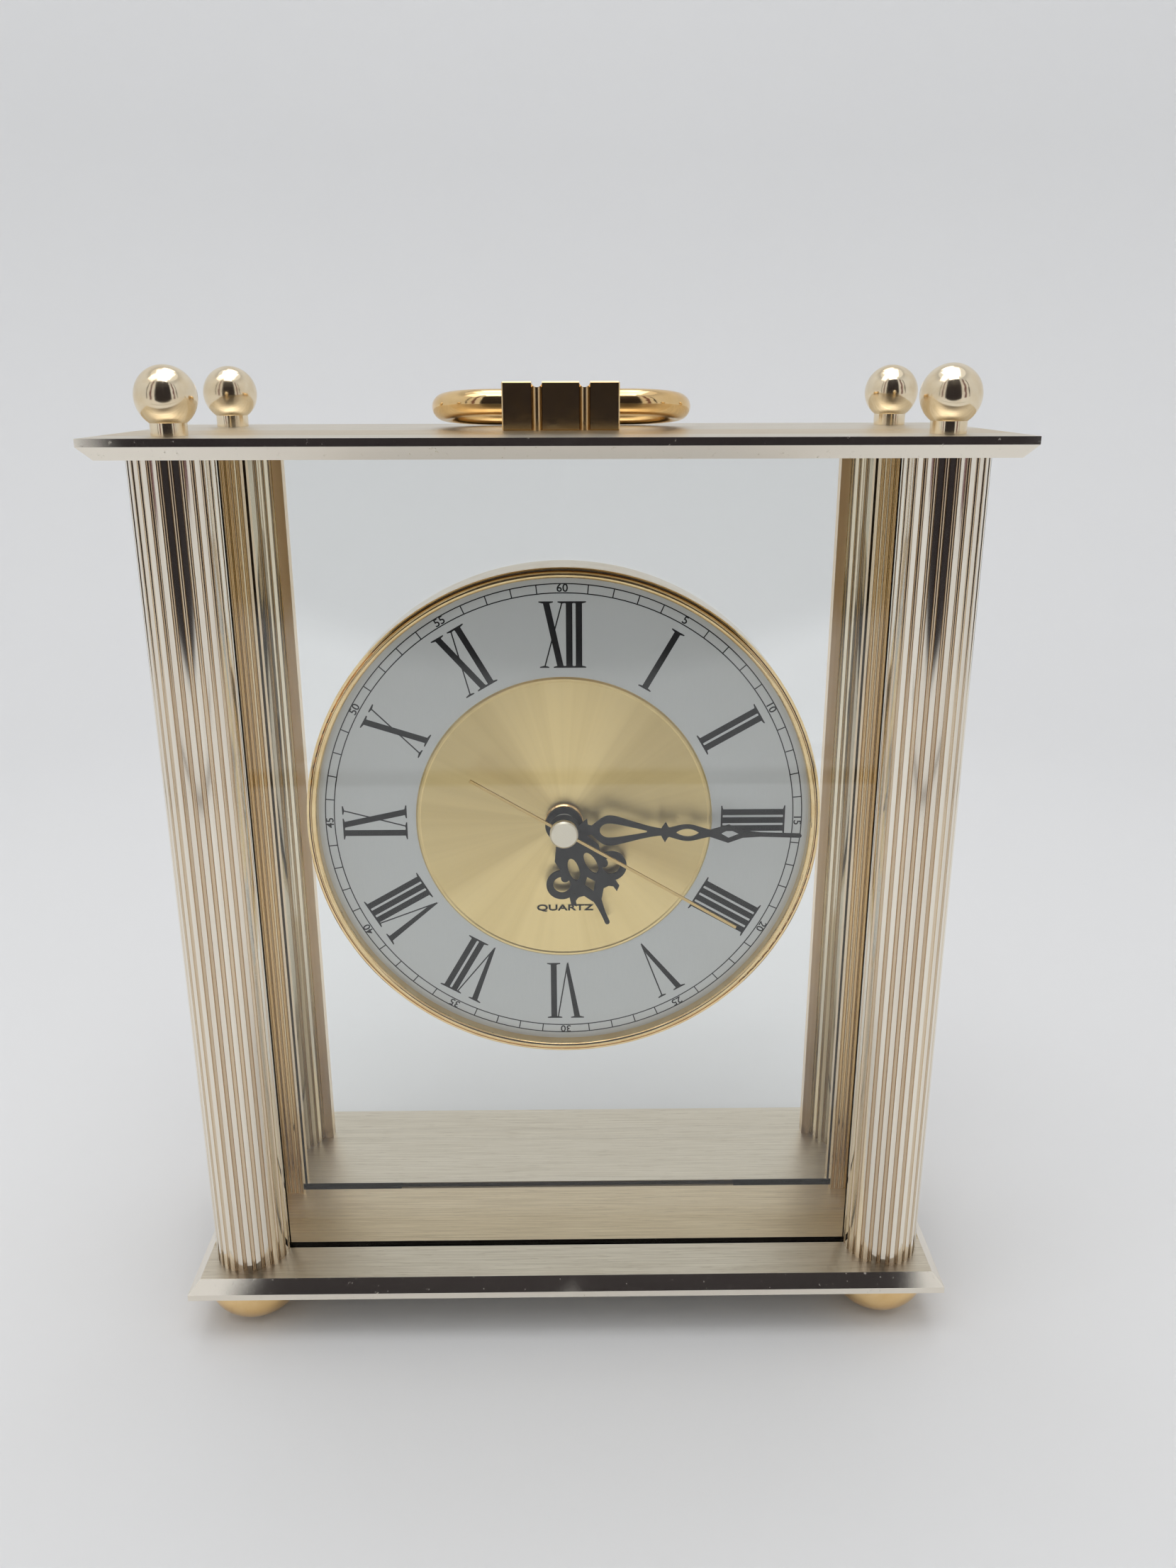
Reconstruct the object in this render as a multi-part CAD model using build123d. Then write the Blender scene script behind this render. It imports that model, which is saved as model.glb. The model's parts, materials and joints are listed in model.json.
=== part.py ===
"""Four-column mantel clock with a battery quartz movement, as an assembly of separate pieces.

Millimetres. X runs to the viewer's right, Y to the back and Z up. The origin is the middle of
the footprint, on the surface that the feet stand on.
"""
from build123d import *
import math
import os

# --- case
COLUMN_SPACING_X = 150.0
COLUMN_SPACING_Y = 46.8
COLUMN_R = 8.55
COLUMN_HEIGHT = 183.7
FLUTES = 26
FLUTE_R = 0.5
FOOT_HEIGHT = 12.0
FOOT_R = 11.2
PLATE_T = 4.0
PLATE_BAND = 1.5                 # straight part of a plate's edge, the rest is bevelled
BASE_W, BASE_D, BASE_BEVEL = 175.0, 73.2, 2.5
TOP_W, TOP_D, TOP_BEVEL = 178.0, 70.0, 2.25
ROD_R = 2.0
FIT_GAP = 0.1                    # a plain clearance between pieces that don't move
PAD_R, PAD_TOP = 4.5, 1.2
BALL_R = 5.9
BALL_RISE = 7.14                 # ball centre above the top plate
NECK_R = 3.5

# --- glass and the strips that hold it
FRONT_GLASS_Y, FRONT_GLASS_T = -22.5, 1.6
FRONT_GLASS_HALF_W = 68.8
CENTRE_GLASS_T = 2.1
CENTRE_GLASS_HALF_W = 69.2
GLASS_SINK = 1.2                 # how far a pane enters each plate
SLOT_DEPTH = 1.9
SLOT_GAP = 0.2                   # per side of a pane
PACKING_HALF_W, PACKING_T = 43.0, 0.6
STILE_IN, STILE_W, STILE_D = 67.3, 7.5, 6.4
STILE_REED_R, STILE_REED_PITCH, STILE_REEDS = 0.36, 1.05, 7
TENON_W, TENON_D, TENON_H = 4.0, 4.0, 1.2
LIP_IN, LIP_FRONT_Y, LIP_T = 64.3, 21.4, 3.0

# --- carrying handle
BLOCK_W, BLOCK_D, BLOCK_H = 24.4, 8.5, 9.7
BLOCK_GROOVE_X, BLOCK_GROOVE_R = 4.95, 1.15
RING_TUBE_R = 2.75
RING_HALF_W = 25.4               # from the middle to the tube's centre line
RING_DEPTH = 24.0
RING_CORNER_R = 11.5
RING_AXIS_H = 5.5                # pivot above the top plate
SCREW_SHANK_R, SCREW_HEAD_R, SCREW_HEAD_H = 0.8, 1.5, 1.2
HANDLE_SCREW_X = (-9.0, 9.0)
HANDLE_SCREW_Y, HANDLE_SCREW_BITE = 3.0, 2.4
RUN_GAP = 0.05                   # radial clearance of everything that turns

# --- dial
DIAL_RISE = 103.5                # dial centre above the base plate
DRUM_R, DRUM_WALL = 57.1, 1.2
DRUM_BACK_Y, DRUM_FRONT_Y = -1.65, -11.0
GASKET_T = 0.6
GLASS_HOLE_R = 42.0
DIAL_R, DIAL_T, DIAL_FRONT_Y = 55.6, 0.6, -10.0
DISC_R, DISC_T, DISC_RIM = 33.2, 0.5, 1.1
BEZEL_IN_R = 54.9
NUT_R, NUT_T = 4.25, 0.6
CLAMP_R, CLAMP_T = 54.0, 1.5
POST_R, POST_RADIUS = 3.0, 35.5
CLAMP_SCREW_R = 1.25

# --- hands, measured from the centre of the dial
HAND_T = 0.5
HOUR_Y, MINUTE_Y, SECOND_Y = -12.6, -15.2, -17.4     # middle of each hand's thickness
HOUR_LENGTH, MINUTE_LENGTH = 26.0, 52.6
SECOND_LENGTH, SECOND_TAIL, SECOND_W = 44.8, 23.6, 0.6
HOUR_ANGLE, MINUTE_ANGLE, SECOND_ANGLE = 157.7, 92.0, 120.8   # clockwise from twelve
CAP_R, CAP_FRONT_Y = 3.1, -19.2

# --- quartz movement, measured from the centre of the dial
CASE_HALF, CASE_WALL = 28.0, 1.6
CASE_FRONT_Y, CASE_BACK_Y = -9.4, 5.4
CASE_FRONT_T, COVER_T = 1.2, 1.2
NECK_OUT_R, NECK_FRONT_Y = 3.65, -11.7
HOUR_PIPE_R, MINUTE_PIPE_R, SECOND_ARBOR_R = 2.8, 1.9, 0.8
BAY_WALL_Z, BAY_WALL_T = -11.5, 1.0
CELL_R, CELL_LENGTH, CELL_Z, CELL_Y = 7.1, 49.0, -19.2, -1.0
PIVOT_R, PIVOT_LENGTH = 0.4, 0.8
ARBOR_R = 0.7

# Gear planes, front and back
HOUR_PLANE = (-7.9, -7.1)
MINUTE_PLANE = (-6.7, -5.7)
CENTRE_PLANE = (-5.2, -4.4)
BRIDGE_PLANE = (-3.7, -2.9)
THIRD_PLANE = (-2.4, -1.6)
SECOND_PLANE = (-1.0, -0.2)
STEP_PLANE = (0.4, 1.2)
STATOR_PLANE = (1.8, 2.8)
ROTOR_PLANE = (1.6, 4.0)

# Tooth counts
SECOND_WHEEL, SECOND_PINION = 60, 10
THIRD_WHEEL, THIRD_PINION = 75, 10
CENTRE_WHEEL = 80
STEP_WHEEL, STEP_PINION = 50, 10
ROTOR_PINION = 10
CANNON_PINION, MINUTE_WHEEL = 12, 36
MINUTE_PINION, HOUR_WHEEL = 10, 40
KNOB_PINION = 12

TRAIN_MODULE = 0.28
MOTION_MODULE = 0.36
THIRD_DISTANCE = TRAIN_MODULE * (SECOND_PINION + THIRD_WHEEL) / 2
CENTRE_MODULE = 2 * THIRD_DISTANCE / (THIRD_PINION + CENTRE_WHEEL)
STEP_DISTANCE = TRAIN_MODULE * (STEP_PINION + SECOND_WHEEL) / 2
ROTOR_DISTANCE = TRAIN_MODULE * (ROTOR_PINION + STEP_WHEEL) / 2
MOTION_DISTANCE = MOTION_MODULE * (CANNON_PINION + MINUTE_WHEEL) / 2
HOUR_MODULE = 2 * MOTION_DISTANCE / (MINUTE_PINION + HOUR_WHEEL)
KNOB_DISTANCE = MOTION_MODULE * (KNOB_PINION + MINUTE_WHEEL) / 2

# Direction from one axis to the next, degrees counter-clockwise from +X seen from the front
THIRD_DIRECTION, STEP_DIRECTION, ROTOR_DIRECTION = 120.0, 20.0, 60.0
MOTION_DIRECTION, KNOB_DIRECTION = 195.0, 180.0

PRESSURE_ANGLE = math.radians(20.0)
ADDENDUM, DEDENDUM, BACKLASH = 0.8, 1.15, 0.16       # in modules
KNOB_R, KNOB_LENGTH, KNOB_GRIPS = 5.0, 3.0, 20
KNOB_STEM_R = 1.5
COIL_X0, COIL_X1, COIL_Z, COIL_R = 6.6, 21.4, 22.0, 2.9
BOBBIN_TUBE_R, BOBBIN_FLANGE_T = 1.9, 0.8
CORE_PLANE, CORE_H, CORE_OVERHANG = (0.6, 1.8), 2.8, 3.4
MAGNET_R, STATOR_BORE_R = 3.0, 3.5
STUD_R = 0.8
BRIDGE_POSTS, BRIDGE_POST_R = ((-18.4, 12.6), (-16.5, -8.6), (5.5, 14.5)), 1.4
COVER_SCREWS, COVER_POST_R = ((-24.0, 23.6), (24.0, -8.5)), 1.8
SMALL_SCREW_R, SMALL_HEAD_R, SMALL_HEAD_T = 0.7, 1.4, 0.8
BRIDGE_SCREW_BITE, COVER_SCREW_BITE = 3.0, 4.0
BOARD_X, BOARD_Z, BOARD_PLANE = (13.0, 25.6), (-6.2, 4.6), (2.8, 3.8)
BOARD_POSTS, BOARD_POST_R = ((24.2, 3.2), (24.2, -4.8)), 1.0

# --- heights that follow from the above
BASE_TOP = FOOT_HEIGHT + PLATE_T
TOP_UNDER = BASE_TOP + COLUMN_HEIGHT
TOP_TOP = TOP_UNDER + PLATE_T
DIAL_Z = BASE_TOP + DIAL_RISE
COLUMN_PLACES = {
    "front_left": (-COLUMN_SPACING_X / 2, -COLUMN_SPACING_Y / 2),
    "front_right": (COLUMN_SPACING_X / 2, -COLUMN_SPACING_Y / 2),
    "rear_left": (-COLUMN_SPACING_X / 2, COLUMN_SPACING_Y / 2),
    "rear_right": (COLUMN_SPACING_X / 2, COLUMN_SPACING_Y / 2),
}


# --- helpers
def block(x0, x1, y0, y1, z0, z1):
    """A box given by its two corners."""
    centre = ((x0 + x1) / 2, (y0 + y1) / 2, (z0 + z1) / 2)
    return Pos(*centre) * Box(x1 - x0, y1 - y0, z1 - z0)


def post(radius, x, y, z0, z1):
    """An upright cylinder."""
    return Pos(x, y, (z0 + z1) / 2) * Cylinder(radius, z1 - z0)


def slab(sketch, y_front, y_back):
    """A flat piece parallel to the dial; the sketch's axes are X and Z."""
    return extrude(Plane.XZ.offset(-y_back) * sketch, y_back - y_front)


def shaft(radius, y_front, y_back, place=(0, 0)):
    """A round piece along Y, at a place on the dial plane."""
    return slab(Pos(*place) * Circle(radius), y_front, y_back)


def turned(outline):
    """A ring or disc turned about the dial's axis, from a closed outline in (radius, Y)."""
    return revolve(make_face(outline), Axis.Y, 360)


def on_dial(shape):
    """Moves a piece made about the dial's centre to its height on the clock."""
    return Pos(0, 0, DIAL_Z) * shape


def polar(radius, degrees, start=(0, 0)):
    """The point at a distance and direction from another point."""
    angle = math.radians(degrees)
    return (start[0] + radius * math.cos(angle), start[1] + radius * math.sin(angle))


# --- case pieces
def bevelled_plate(width, depth, bevel, bevel_up):
    """A flat plate with a straight band along its edge and a mitred bevel on one side."""
    rise = PLATE_T - PLATE_BAND
    band = extrude(Rectangle(width, depth), PLATE_BAND)
    slope = extrude(Rectangle(width, depth), rise, taper=math.degrees(math.atan2(bevel, rise)))
    plate = band + Pos(0, 0, PLATE_BAND) * slope
    if bevel_up:
        return plate
    return Pos(0, 0, PLATE_T) * Rot(180, 0, 0) * plate


def glass_slots(z0, z1):
    """The two channels that the panes stand in."""
    front_half = FRONT_GLASS_T / 2 + SLOT_GAP
    centre_half = CENTRE_GLASS_T / 2 + SLOT_GAP
    front_w = FRONT_GLASS_HALF_W + FIT_GAP
    centre_w = CENTRE_GLASS_HALF_W + FIT_GAP
    front = block(-front_w, front_w, FRONT_GLASS_Y - front_half, FRONT_GLASS_Y + front_half, z0, z1)
    centre = block(-centre_w, centre_w, -centre_half, centre_half, z0, z1)
    return front + centre


def tenon_box(side, z0, z1, gap):
    """The square tongue at the end of a stile, or its pocket when a gap is given."""
    middle = side * (STILE_IN + STILE_W / 2 + 0.6)
    half_w = TENON_W / 2 + gap
    half_d = TENON_D / 2 + gap
    return block(middle - half_w, middle + half_w, -half_d, half_d, z0, z1)


def drill_for_rods(plate, z0, z1):
    for x, y in COLUMN_PLACES.values():
        plate -= post(ROD_R + FIT_GAP, x, y, z0 - 1, z1 + 1)
    return plate


def base_plate():
    plate = Pos(0, 0, FOOT_HEIGHT) * bevelled_plate(BASE_W, BASE_D, BASE_BEVEL, True)
    plate -= glass_slots(BASE_TOP - SLOT_DEPTH, BASE_TOP + 1)
    for side in (-1, 1):
        plate -= tenon_box(side, BASE_TOP - TENON_H - FIT_GAP, BASE_TOP + 1, FIT_GAP)
    return drill_for_rods(plate, FOOT_HEIGHT, BASE_TOP)


def top_plate():
    plate = Pos(0, 0, TOP_UNDER) * bevelled_plate(TOP_W, TOP_D, TOP_BEVEL, False)
    plate -= glass_slots(TOP_UNDER - 1, TOP_UNDER + SLOT_DEPTH)
    for side in (-1, 1):
        plate -= tenon_box(side, TOP_UNDER - 1, TOP_UNDER + TENON_H + FIT_GAP, FIT_GAP)
    for x in HANDLE_SCREW_X:
        plate -= post(SCREW_SHANK_R + FIT_GAP, x, HANDLE_SCREW_Y, TOP_UNDER, TOP_TOP)
        plate -= post(SCREW_HEAD_R + FIT_GAP, x, HANDLE_SCREW_Y, TOP_UNDER, TOP_UNDER + SCREW_HEAD_H)
    return drill_for_rods(plate, TOP_UNDER, TOP_TOP)


def fluted_section(lip_side):
    """A column's cross section, with a plain lip on its inner side if it is a rear column."""
    section = Circle(COLUMN_R)
    section -= PolarLocations(COLUMN_R, FLUTES, 90) * Circle(FLUTE_R)
    if lip_side:
        reach = COLUMN_SPACING_X / 2 - LIP_IN
        lip = Rectangle(reach - 2, LIP_T)
        middle_y = LIP_FRONT_Y + LIP_T / 2 - COLUMN_SPACING_Y / 2
        section += Pos(lip_side * (reach + 2) / 2, middle_y) * lip
    return section - Circle(ROD_R + FIT_GAP)


def column(place):
    """One fluted column; the front ones are grooved for the front pane."""
    x, y = COLUMN_PLACES[place]
    inward = -1 if x > 0 else 1
    lip_side = inward if y > 0 else 0
    shape = extrude(Pos(x, y) * fluted_section(lip_side), COLUMN_HEIGHT)
    shape = Pos(0, 0, BASE_TOP) * shape
    if y < 0:
        half = FRONT_GLASS_T / 2 + SLOT_GAP
        groove_end = FRONT_GLASS_HALF_W + FIT_GAP
        edges = sorted((-inward * groove_end, -inward * (groove_end - 6)))
        shape -= block(*edges, FRONT_GLASS_Y - half, FRONT_GLASS_Y + half, BASE_TOP - 1, TOP_UNDER + 1)
    return shape


def tie_rods():
    """Four threaded rods that clamp foot, base, column, top and finial together."""
    rods = [post(ROD_R, x, y, FOOT_HEIGHT - 7, TOP_TOP + 6) for x, y in COLUMN_PLACES.values()]
    return Compound(children=rods)


def foot(place):
    """A turned bun foot, screwed on the lower end of a rod."""
    x, y = COLUMN_PLACES[place]
    widest_z, drop = 8.8, 8.8
    bottom_z, top_z = 0.6, FOOT_HEIGHT
    low = math.asin((bottom_z - widest_z) / drop)
    high = math.asin((top_z - widest_z) / drop)
    angles = [low + (high - low) * step / 6 for step in range(7)]
    curve = Spline(*[(FOOT_R * math.cos(a), widest_z + drop * math.sin(a)) for a in angles])
    side = Polyline(curve @ 1, (0, top_z), (0, bottom_z), curve @ 0)
    bun = revolve(Plane.XZ * make_face(curve + side), Axis.Z, 360)
    bun -= post(ROD_R, 0, 0, top_z - 7, top_z + 1)
    bun -= post(PAD_R, 0, 0, 0, PAD_TOP)
    return Pos(x, y, 0) * bun


def foot_pads():
    """Felt discs let into the undersides of the feet."""
    pads = [post(PAD_R, x, y, 0, PAD_TOP) for x, y in COLUMN_PLACES.values()]
    return Compound(children=pads)


def finial(place):
    """A ball on a short neck, screwed on the upper end of a rod."""
    x, y = COLUMN_PLACES[place]
    ball = Pos(0, 0, TOP_TOP + BALL_RISE) * Sphere(BALL_R)
    shape = ball + post(NECK_R, 0, 0, TOP_TOP, TOP_TOP + BALL_RISE)
    shape -= post(ROD_R, 0, 0, TOP_TOP - 1, TOP_TOP + 6)
    return Pos(x, y, 0) * shape


def front_glass():
    half = FRONT_GLASS_T / 2
    return block(-FRONT_GLASS_HALF_W, FRONT_GLASS_HALF_W, FRONT_GLASS_Y - half, FRONT_GLASS_Y + half,
                 BASE_TOP - GLASS_SINK, TOP_UNDER + GLASS_SINK)


def centre_glass():
    """The pane at half depth, with a round hole that the dial unit is clamped in."""
    half = CENTRE_GLASS_T / 2
    pane = block(-CENTRE_GLASS_HALF_W, CENTRE_GLASS_HALF_W, -half, half,
                 BASE_TOP - GLASS_SINK, TOP_UNDER + GLASS_SINK)
    return pane - on_dial(shaft(GLASS_HOLE_R, -half - 1, half + 1))


def glass_packing():
    """A soft strip under the middle of the centre pane."""
    half = CENTRE_GLASS_T / 2
    top = BASE_TOP - GLASS_SINK
    return block(-PACKING_HALF_W, PACKING_HALF_W, -half, half, top - PACKING_T, top)


def stile(side):
    """A reeded upright at half depth that the edge of the centre pane runs in."""
    middle = side * (STILE_IN + STILE_W / 2)
    section = Pos(middle, 0) * Rectangle(STILE_W, STILE_D)
    for index in range(STILE_REEDS):
        x = middle + (index - (STILE_REEDS - 1) / 2) * STILE_REED_PITCH
        for face in (-1, 1):
            section -= Pos(x, face * STILE_D / 2) * Circle(STILE_REED_R)
    half = CENTRE_GLASS_T / 2 + FIT_GAP
    groove_end = CENTRE_GLASS_HALF_W + FIT_GAP
    groove_w = groove_end - STILE_IN + 1
    section -= Pos(side * (groove_end - groove_w / 2), 0) * Rectangle(groove_w, 2 * half)
    shape = Pos(0, 0, BASE_TOP) * extrude(section, COLUMN_HEIGHT)
    shape += tenon_box(side, BASE_TOP - TENON_H, BASE_TOP, 0)
    return shape + tenon_box(side, TOP_UNDER, TOP_UNDER + TENON_H, 0)


# --- handle
def handle_block():
    """The block that the handle ring turns in, with two grooves round it."""
    shape = block(-BLOCK_W / 2, BLOCK_W / 2, -BLOCK_D / 2, BLOCK_D / 2, TOP_TOP, TOP_TOP + BLOCK_H)
    shape = chamfer(shape.edges(), 0.25)
    for x in (-BLOCK_GROOVE_X, BLOCK_GROOVE_X):
        for y in (-BLOCK_D / 2, BLOCK_D / 2):
            shape -= post(BLOCK_GROOVE_R, x, y, TOP_TOP - 1, TOP_TOP + BLOCK_H + 1)
        across = Pos(x, 0, TOP_TOP + BLOCK_H) * Rot(90, 0, 0) * Cylinder(BLOCK_GROOVE_R, BLOCK_D + 2)
        shape -= across
    bore = Pos(0, 0, TOP_TOP + RING_AXIS_H) * Rot(0, 90, 0) * Cylinder(RING_TUBE_R + RUN_GAP, BLOCK_W + 2)
    shape -= bore
    for x in HANDLE_SCREW_X:
        shape -= post(SCREW_SHANK_R, x, HANDLE_SCREW_Y, TOP_TOP - 1, TOP_TOP + HANDLE_SCREW_BITE)
    return shape


def handle_screws():
    """Two screws up through the top plate into the block."""
    screws = []
    for x in HANDLE_SCREW_X:
        shank = post(SCREW_SHANK_R, x, HANDLE_SCREW_Y, TOP_UNDER + 0.2, TOP_TOP + HANDLE_SCREW_BITE)
        head = post(SCREW_HEAD_R, x, HANDLE_SCREW_Y, TOP_UNDER + 0.2, TOP_UNDER + SCREW_HEAD_H)
        screws.append(shank + head)
    return Compound(children=screws)


def handle_ring():
    """An oval ring of round bar, straight where it turns in the block, lying back on the plate."""
    oval = Pos(0, RING_DEPTH / 2) * RectangleRounded(2 * RING_HALF_W, RING_DEPTH, RING_CORNER_R)
    path = oval.wire()
    ring = sweep(Plane(origin=path @ 0, z_dir=path % 0) * Circle(RING_TUBE_R), path=path)
    fall = math.degrees(math.asin((RING_AXIS_H - RING_TUBE_R - FIT_GAP) / RING_DEPTH))
    return Pos(0, 0, TOP_TOP + RING_AXIS_H) * Rot(-fall, 0, 0) * ring


# --- dial unit
def dial_drum():
    """The can behind the bezel: side wall, dial ledge, back wall with a square window, posts."""
    inner = DRUM_R - DRUM_WALL
    ledge_r, ledge_t = DIAL_R - 2.2, 1.0
    back_y = DRUM_BACK_Y - DRUM_WALL
    dial_back = DIAL_FRONT_Y + DIAL_T
    wall = Polyline((inner, DRUM_FRONT_Y), (DRUM_R, DRUM_FRONT_Y), (DRUM_R, DRUM_BACK_Y),
                    (0, DRUM_BACK_Y), (0, back_y), (inner, back_y), (inner, dial_back + ledge_t),
                    (ledge_r, dial_back + ledge_t), (ledge_r, dial_back), (inner, dial_back), close=True)
    drum = turned(wall)
    window = 2 * (CASE_HALF + FIT_GAP)
    drum -= slab(Rectangle(window, window), back_y - 1, DRUM_BACK_Y + 1)
    for place in clamp_places():
        drum += shaft(POST_R, DRUM_BACK_Y, CENTRE_GLASS_T / 2 + GASKET_T, place)
        drum -= shaft(CLAMP_SCREW_R, back_y, CENTRE_GLASS_T / 2 + GASKET_T + 1, place)
    return on_dial(drum)


def clamp_places():
    return [polar(POST_RADIUS, quarter * 90.0) for quarter in range(4)]


def pane_gaskets():
    """Two flat rubber rings, one each side of the pane."""
    ring = Circle(CLAMP_R - 0.5) - Circle(GLASS_HOLE_R + 1)
    half = CENTRE_GLASS_T / 2
    rings = [on_dial(slab(ring, front, front + GASKET_T)) for front in (-half - GASKET_T, half)]
    return Compound(children=rings)


def clamp_plate():
    """The plate behind the pane that the drum is screwed to."""
    front = CENTRE_GLASS_T / 2 + GASKET_T
    window = 2 * (CASE_HALF + FIT_GAP)
    face = Circle(CLAMP_R) - Rectangle(window, window)
    for place in clamp_places():
        face -= Pos(*place) * Circle(CLAMP_SCREW_R + FIT_GAP)
    return on_dial(slab(face, front, front + CLAMP_T))


def clamp_screws():
    head_front = CENTRE_GLASS_T / 2 + GASKET_T + CLAMP_T
    screws = []
    for place in clamp_places():
        screw = shaft(CLAMP_SCREW_R, DRUM_BACK_Y + 0.4, head_front, place)
        screw += shaft(CLAMP_SCREW_R * 2, head_front, head_front + 1.5, place)
        screw -= slab(Pos(*place) * Rectangle(6, 0.6), head_front + 0.9, head_front + 2)
        screws.append(on_dial(screw))
    return Compound(children=screws)


def bezel():
    """The front ring: a plug in the drum, a step, a groove and a half-round inner bead."""
    plug_r = DRUM_R - DRUM_WALL - 0.05
    back = Polyline((BEZEL_IN_R, -11.9), (BEZEL_IN_R, DIAL_FRONT_Y), (plug_r, DIAL_FRONT_Y),
                    (plug_r, DRUM_FRONT_Y), (DRUM_R, DRUM_FRONT_Y), (DRUM_R, -12.1),
                    (DRUM_R - 0.25, -12.4), (DRUM_R - 0.6, -12.4), (DRUM_R - 0.75, -12.0))
    bead = ThreePointArc((DRUM_R - 0.75, -12.0), (BEZEL_IN_R + 0.75, -12.9), (BEZEL_IN_R, -11.9))
    return on_dial(turned(back + bead))


def dial_plate():
    face = Circle(DIAL_R) - Circle(NECK_OUT_R)
    return on_dial(slab(face, DIAL_FRONT_Y, DIAL_FRONT_Y + DIAL_T))


def dial_centre_disc():
    """The raised disc in the middle of the dial, with a sloping rim."""
    front = DIAL_FRONT_Y - DISC_T
    outline = Polyline((NECK_OUT_R, DIAL_FRONT_Y), (NECK_OUT_R, front + 0.15),
                       (DISC_R - DISC_RIM, front + 0.15), (DISC_R - DISC_RIM + 0.3, front),
                       (DISC_R - 0.4, front), (DISC_R, DIAL_FRONT_Y), close=True)
    return on_dial(turned(outline))


def fixing_nut():
    """The slim ring nut round the movement's neck."""
    back = DIAL_FRONT_Y - DISC_T + 0.15
    outline = Polyline((NECK_OUT_R, back), (NUT_R, back), (NUT_R, back - 0.3),
                       (NUT_R - 0.3, back - NUT_T), (NECK_OUT_R, back - NUT_T), close=True)
    return on_dial(turned(outline))


# --- hands
def mirrored(face):
    return face + mirror(face, Plane.YZ)


def mirrored_polygon(*side):
    """A closed polygon from the points of its right-hand half, bottom to top."""
    other = [(-x, y) for x, y in reversed(side) if x]
    return make_face(Polyline(*side, *other, close=True))


def outline_face(side):
    """A closed face from the right-hand half of an outline, bottom to top, mirrored on x = 0."""
    right = Spline(*side)
    left = Spline(*[(-x, y) for x, y in reversed(side)])
    bottom = Line(left @ 1, right @ 0)
    top = Line(right @ 1, left @ 0)
    return make_face(right + top + left + bottom)


def drop_hole(bottom, top, widest_y, half_w):
    """A pointed oval opening."""
    right = ThreePointArc((0, bottom), (half_w, widest_y), (0, top))
    left = ThreePointArc((0, top), (-half_w, widest_y), (0, bottom))
    return make_face(right + left)


def hour_sketch():
    """Two scrolls, two eyes and a lozenge below a plain pointer."""
    body = Circle(4.2)
    body += mirrored_polygon((2.6, 2), (5.3, 7.2), (5.0, 9.4), (2.4, 14.6), (1.5, 18.4))
    side = Pos(6.0, 13.0) * (Circle(3.5) - Circle(1.95))
    side += Pos(4.7, 11.8) * Circle(0.95)
    barb = Polyline((4.6, 15.6), (5.6, 16.6), (5.9, 18.2), (4.9, 19.2), (4.6, 17.8), (3.2, 17.0), close=True)
    side += make_face(barb)
    side += make_face(Polyline((1.2, 12.6), (3.6, 14.8), (4.4, 17.2), (2.4, 17.4), (1.0, 19.6), close=True))
    body += mirrored(side)
    pointer = [(2.2, 15.0), (1.15, 18.6), (0.7, 21.4), (0.55, HOUR_LENGTH - 0.55)]
    body += outline_face(pointer)
    body += Pos(0, HOUR_LENGTH - 0.55) * Circle(0.55)
    eye = Pos(2.1, 10.6) * Rot(0, 0, -6) * Ellipse(1.2, 2.75)
    body -= mirrored(eye)
    return body - mirrored_polygon((0, 13.4), (1.3, 15.1), (0, 17.3))


def minute_sketch():
    """A long serpentine hand: teardrop loop, oval loop, lozenge and a straight tip."""
    tip = MINUTE_LENGTH
    body = Circle(3.4)
    body += outline_face([(1.0, 2.0), (0.9, 5.9), (3.3, 9.0), (2.9, 13.0), (1.2, 19.0), (0.75, 22.4)])
    body += outline_face([(0.7, 22.0), (1.3, 24.2), (1.9, 27.3), (1.2, 30.6), (0.75, 32.4)])
    body += mirrored_polygon((0.75, 32.2), (2.1, 36.4), (0.8, 39.6), (0.45, 43.5), (0.45, tip - 0.45))
    body += Pos(0, tip - 0.45) * Circle(0.45)
    body += mirrored_polygon((0.8, 3.0), (2.6, 5.0), (1.2, 5.2), (0.9, 6.4))
    body += mirrored_polygon((0.6, 21.4), (1.2, 21.7), (2.35, 22.4), (1.2, 23.0), (0.9, 23.6))
    body -= outline_face([(0.45, 7.9), (1.55, 9.0), (1.7, 10.6), (1.3, 13.2), (0.75, 16.0), (0.25, 18.3)])
    body -= drop_hole(24.7, 29.9, 27.3, 0.95)
    return body - mirrored_polygon((0, 34.6), (1.05, 36.5), (0, 38.8))


def second_sketch():
    bar = Pos(0, (SECOND_LENGTH - SECOND_TAIL) / 2) * Rectangle(SECOND_W, SECOND_LENGTH + SECOND_TAIL)
    return bar + Circle(CAP_R - 0.6)


def hand(sketch, angle, middle_y, bore_r, collar_r, collar_t):
    """A flat hand turned clockwise to its angle, with a collar behind it and a bore."""
    front = middle_y - HAND_T / 2
    back = middle_y + HAND_T / 2
    shape = slab(Rot(0, 0, -angle) * sketch, front, back)
    if collar_t:
        shape += shaft(collar_r, back, back + collar_t)
    return on_dial(shape - shaft(bore_r, front - 1, back + collar_t + 1))


def second_cap():
    """The flat-topped brass button on the second hand."""
    back = SECOND_Y - HAND_T / 2
    outline = Polyline((0, CAP_FRONT_Y), (CAP_R - 0.35, CAP_FRONT_Y), (CAP_R, CAP_FRONT_Y + 0.35),
                       (CAP_R, back), (0, back), close=True)
    return on_dial(turned(outline))


# --- gears
def involute(angle):
    return math.tan(angle) - angle


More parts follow.
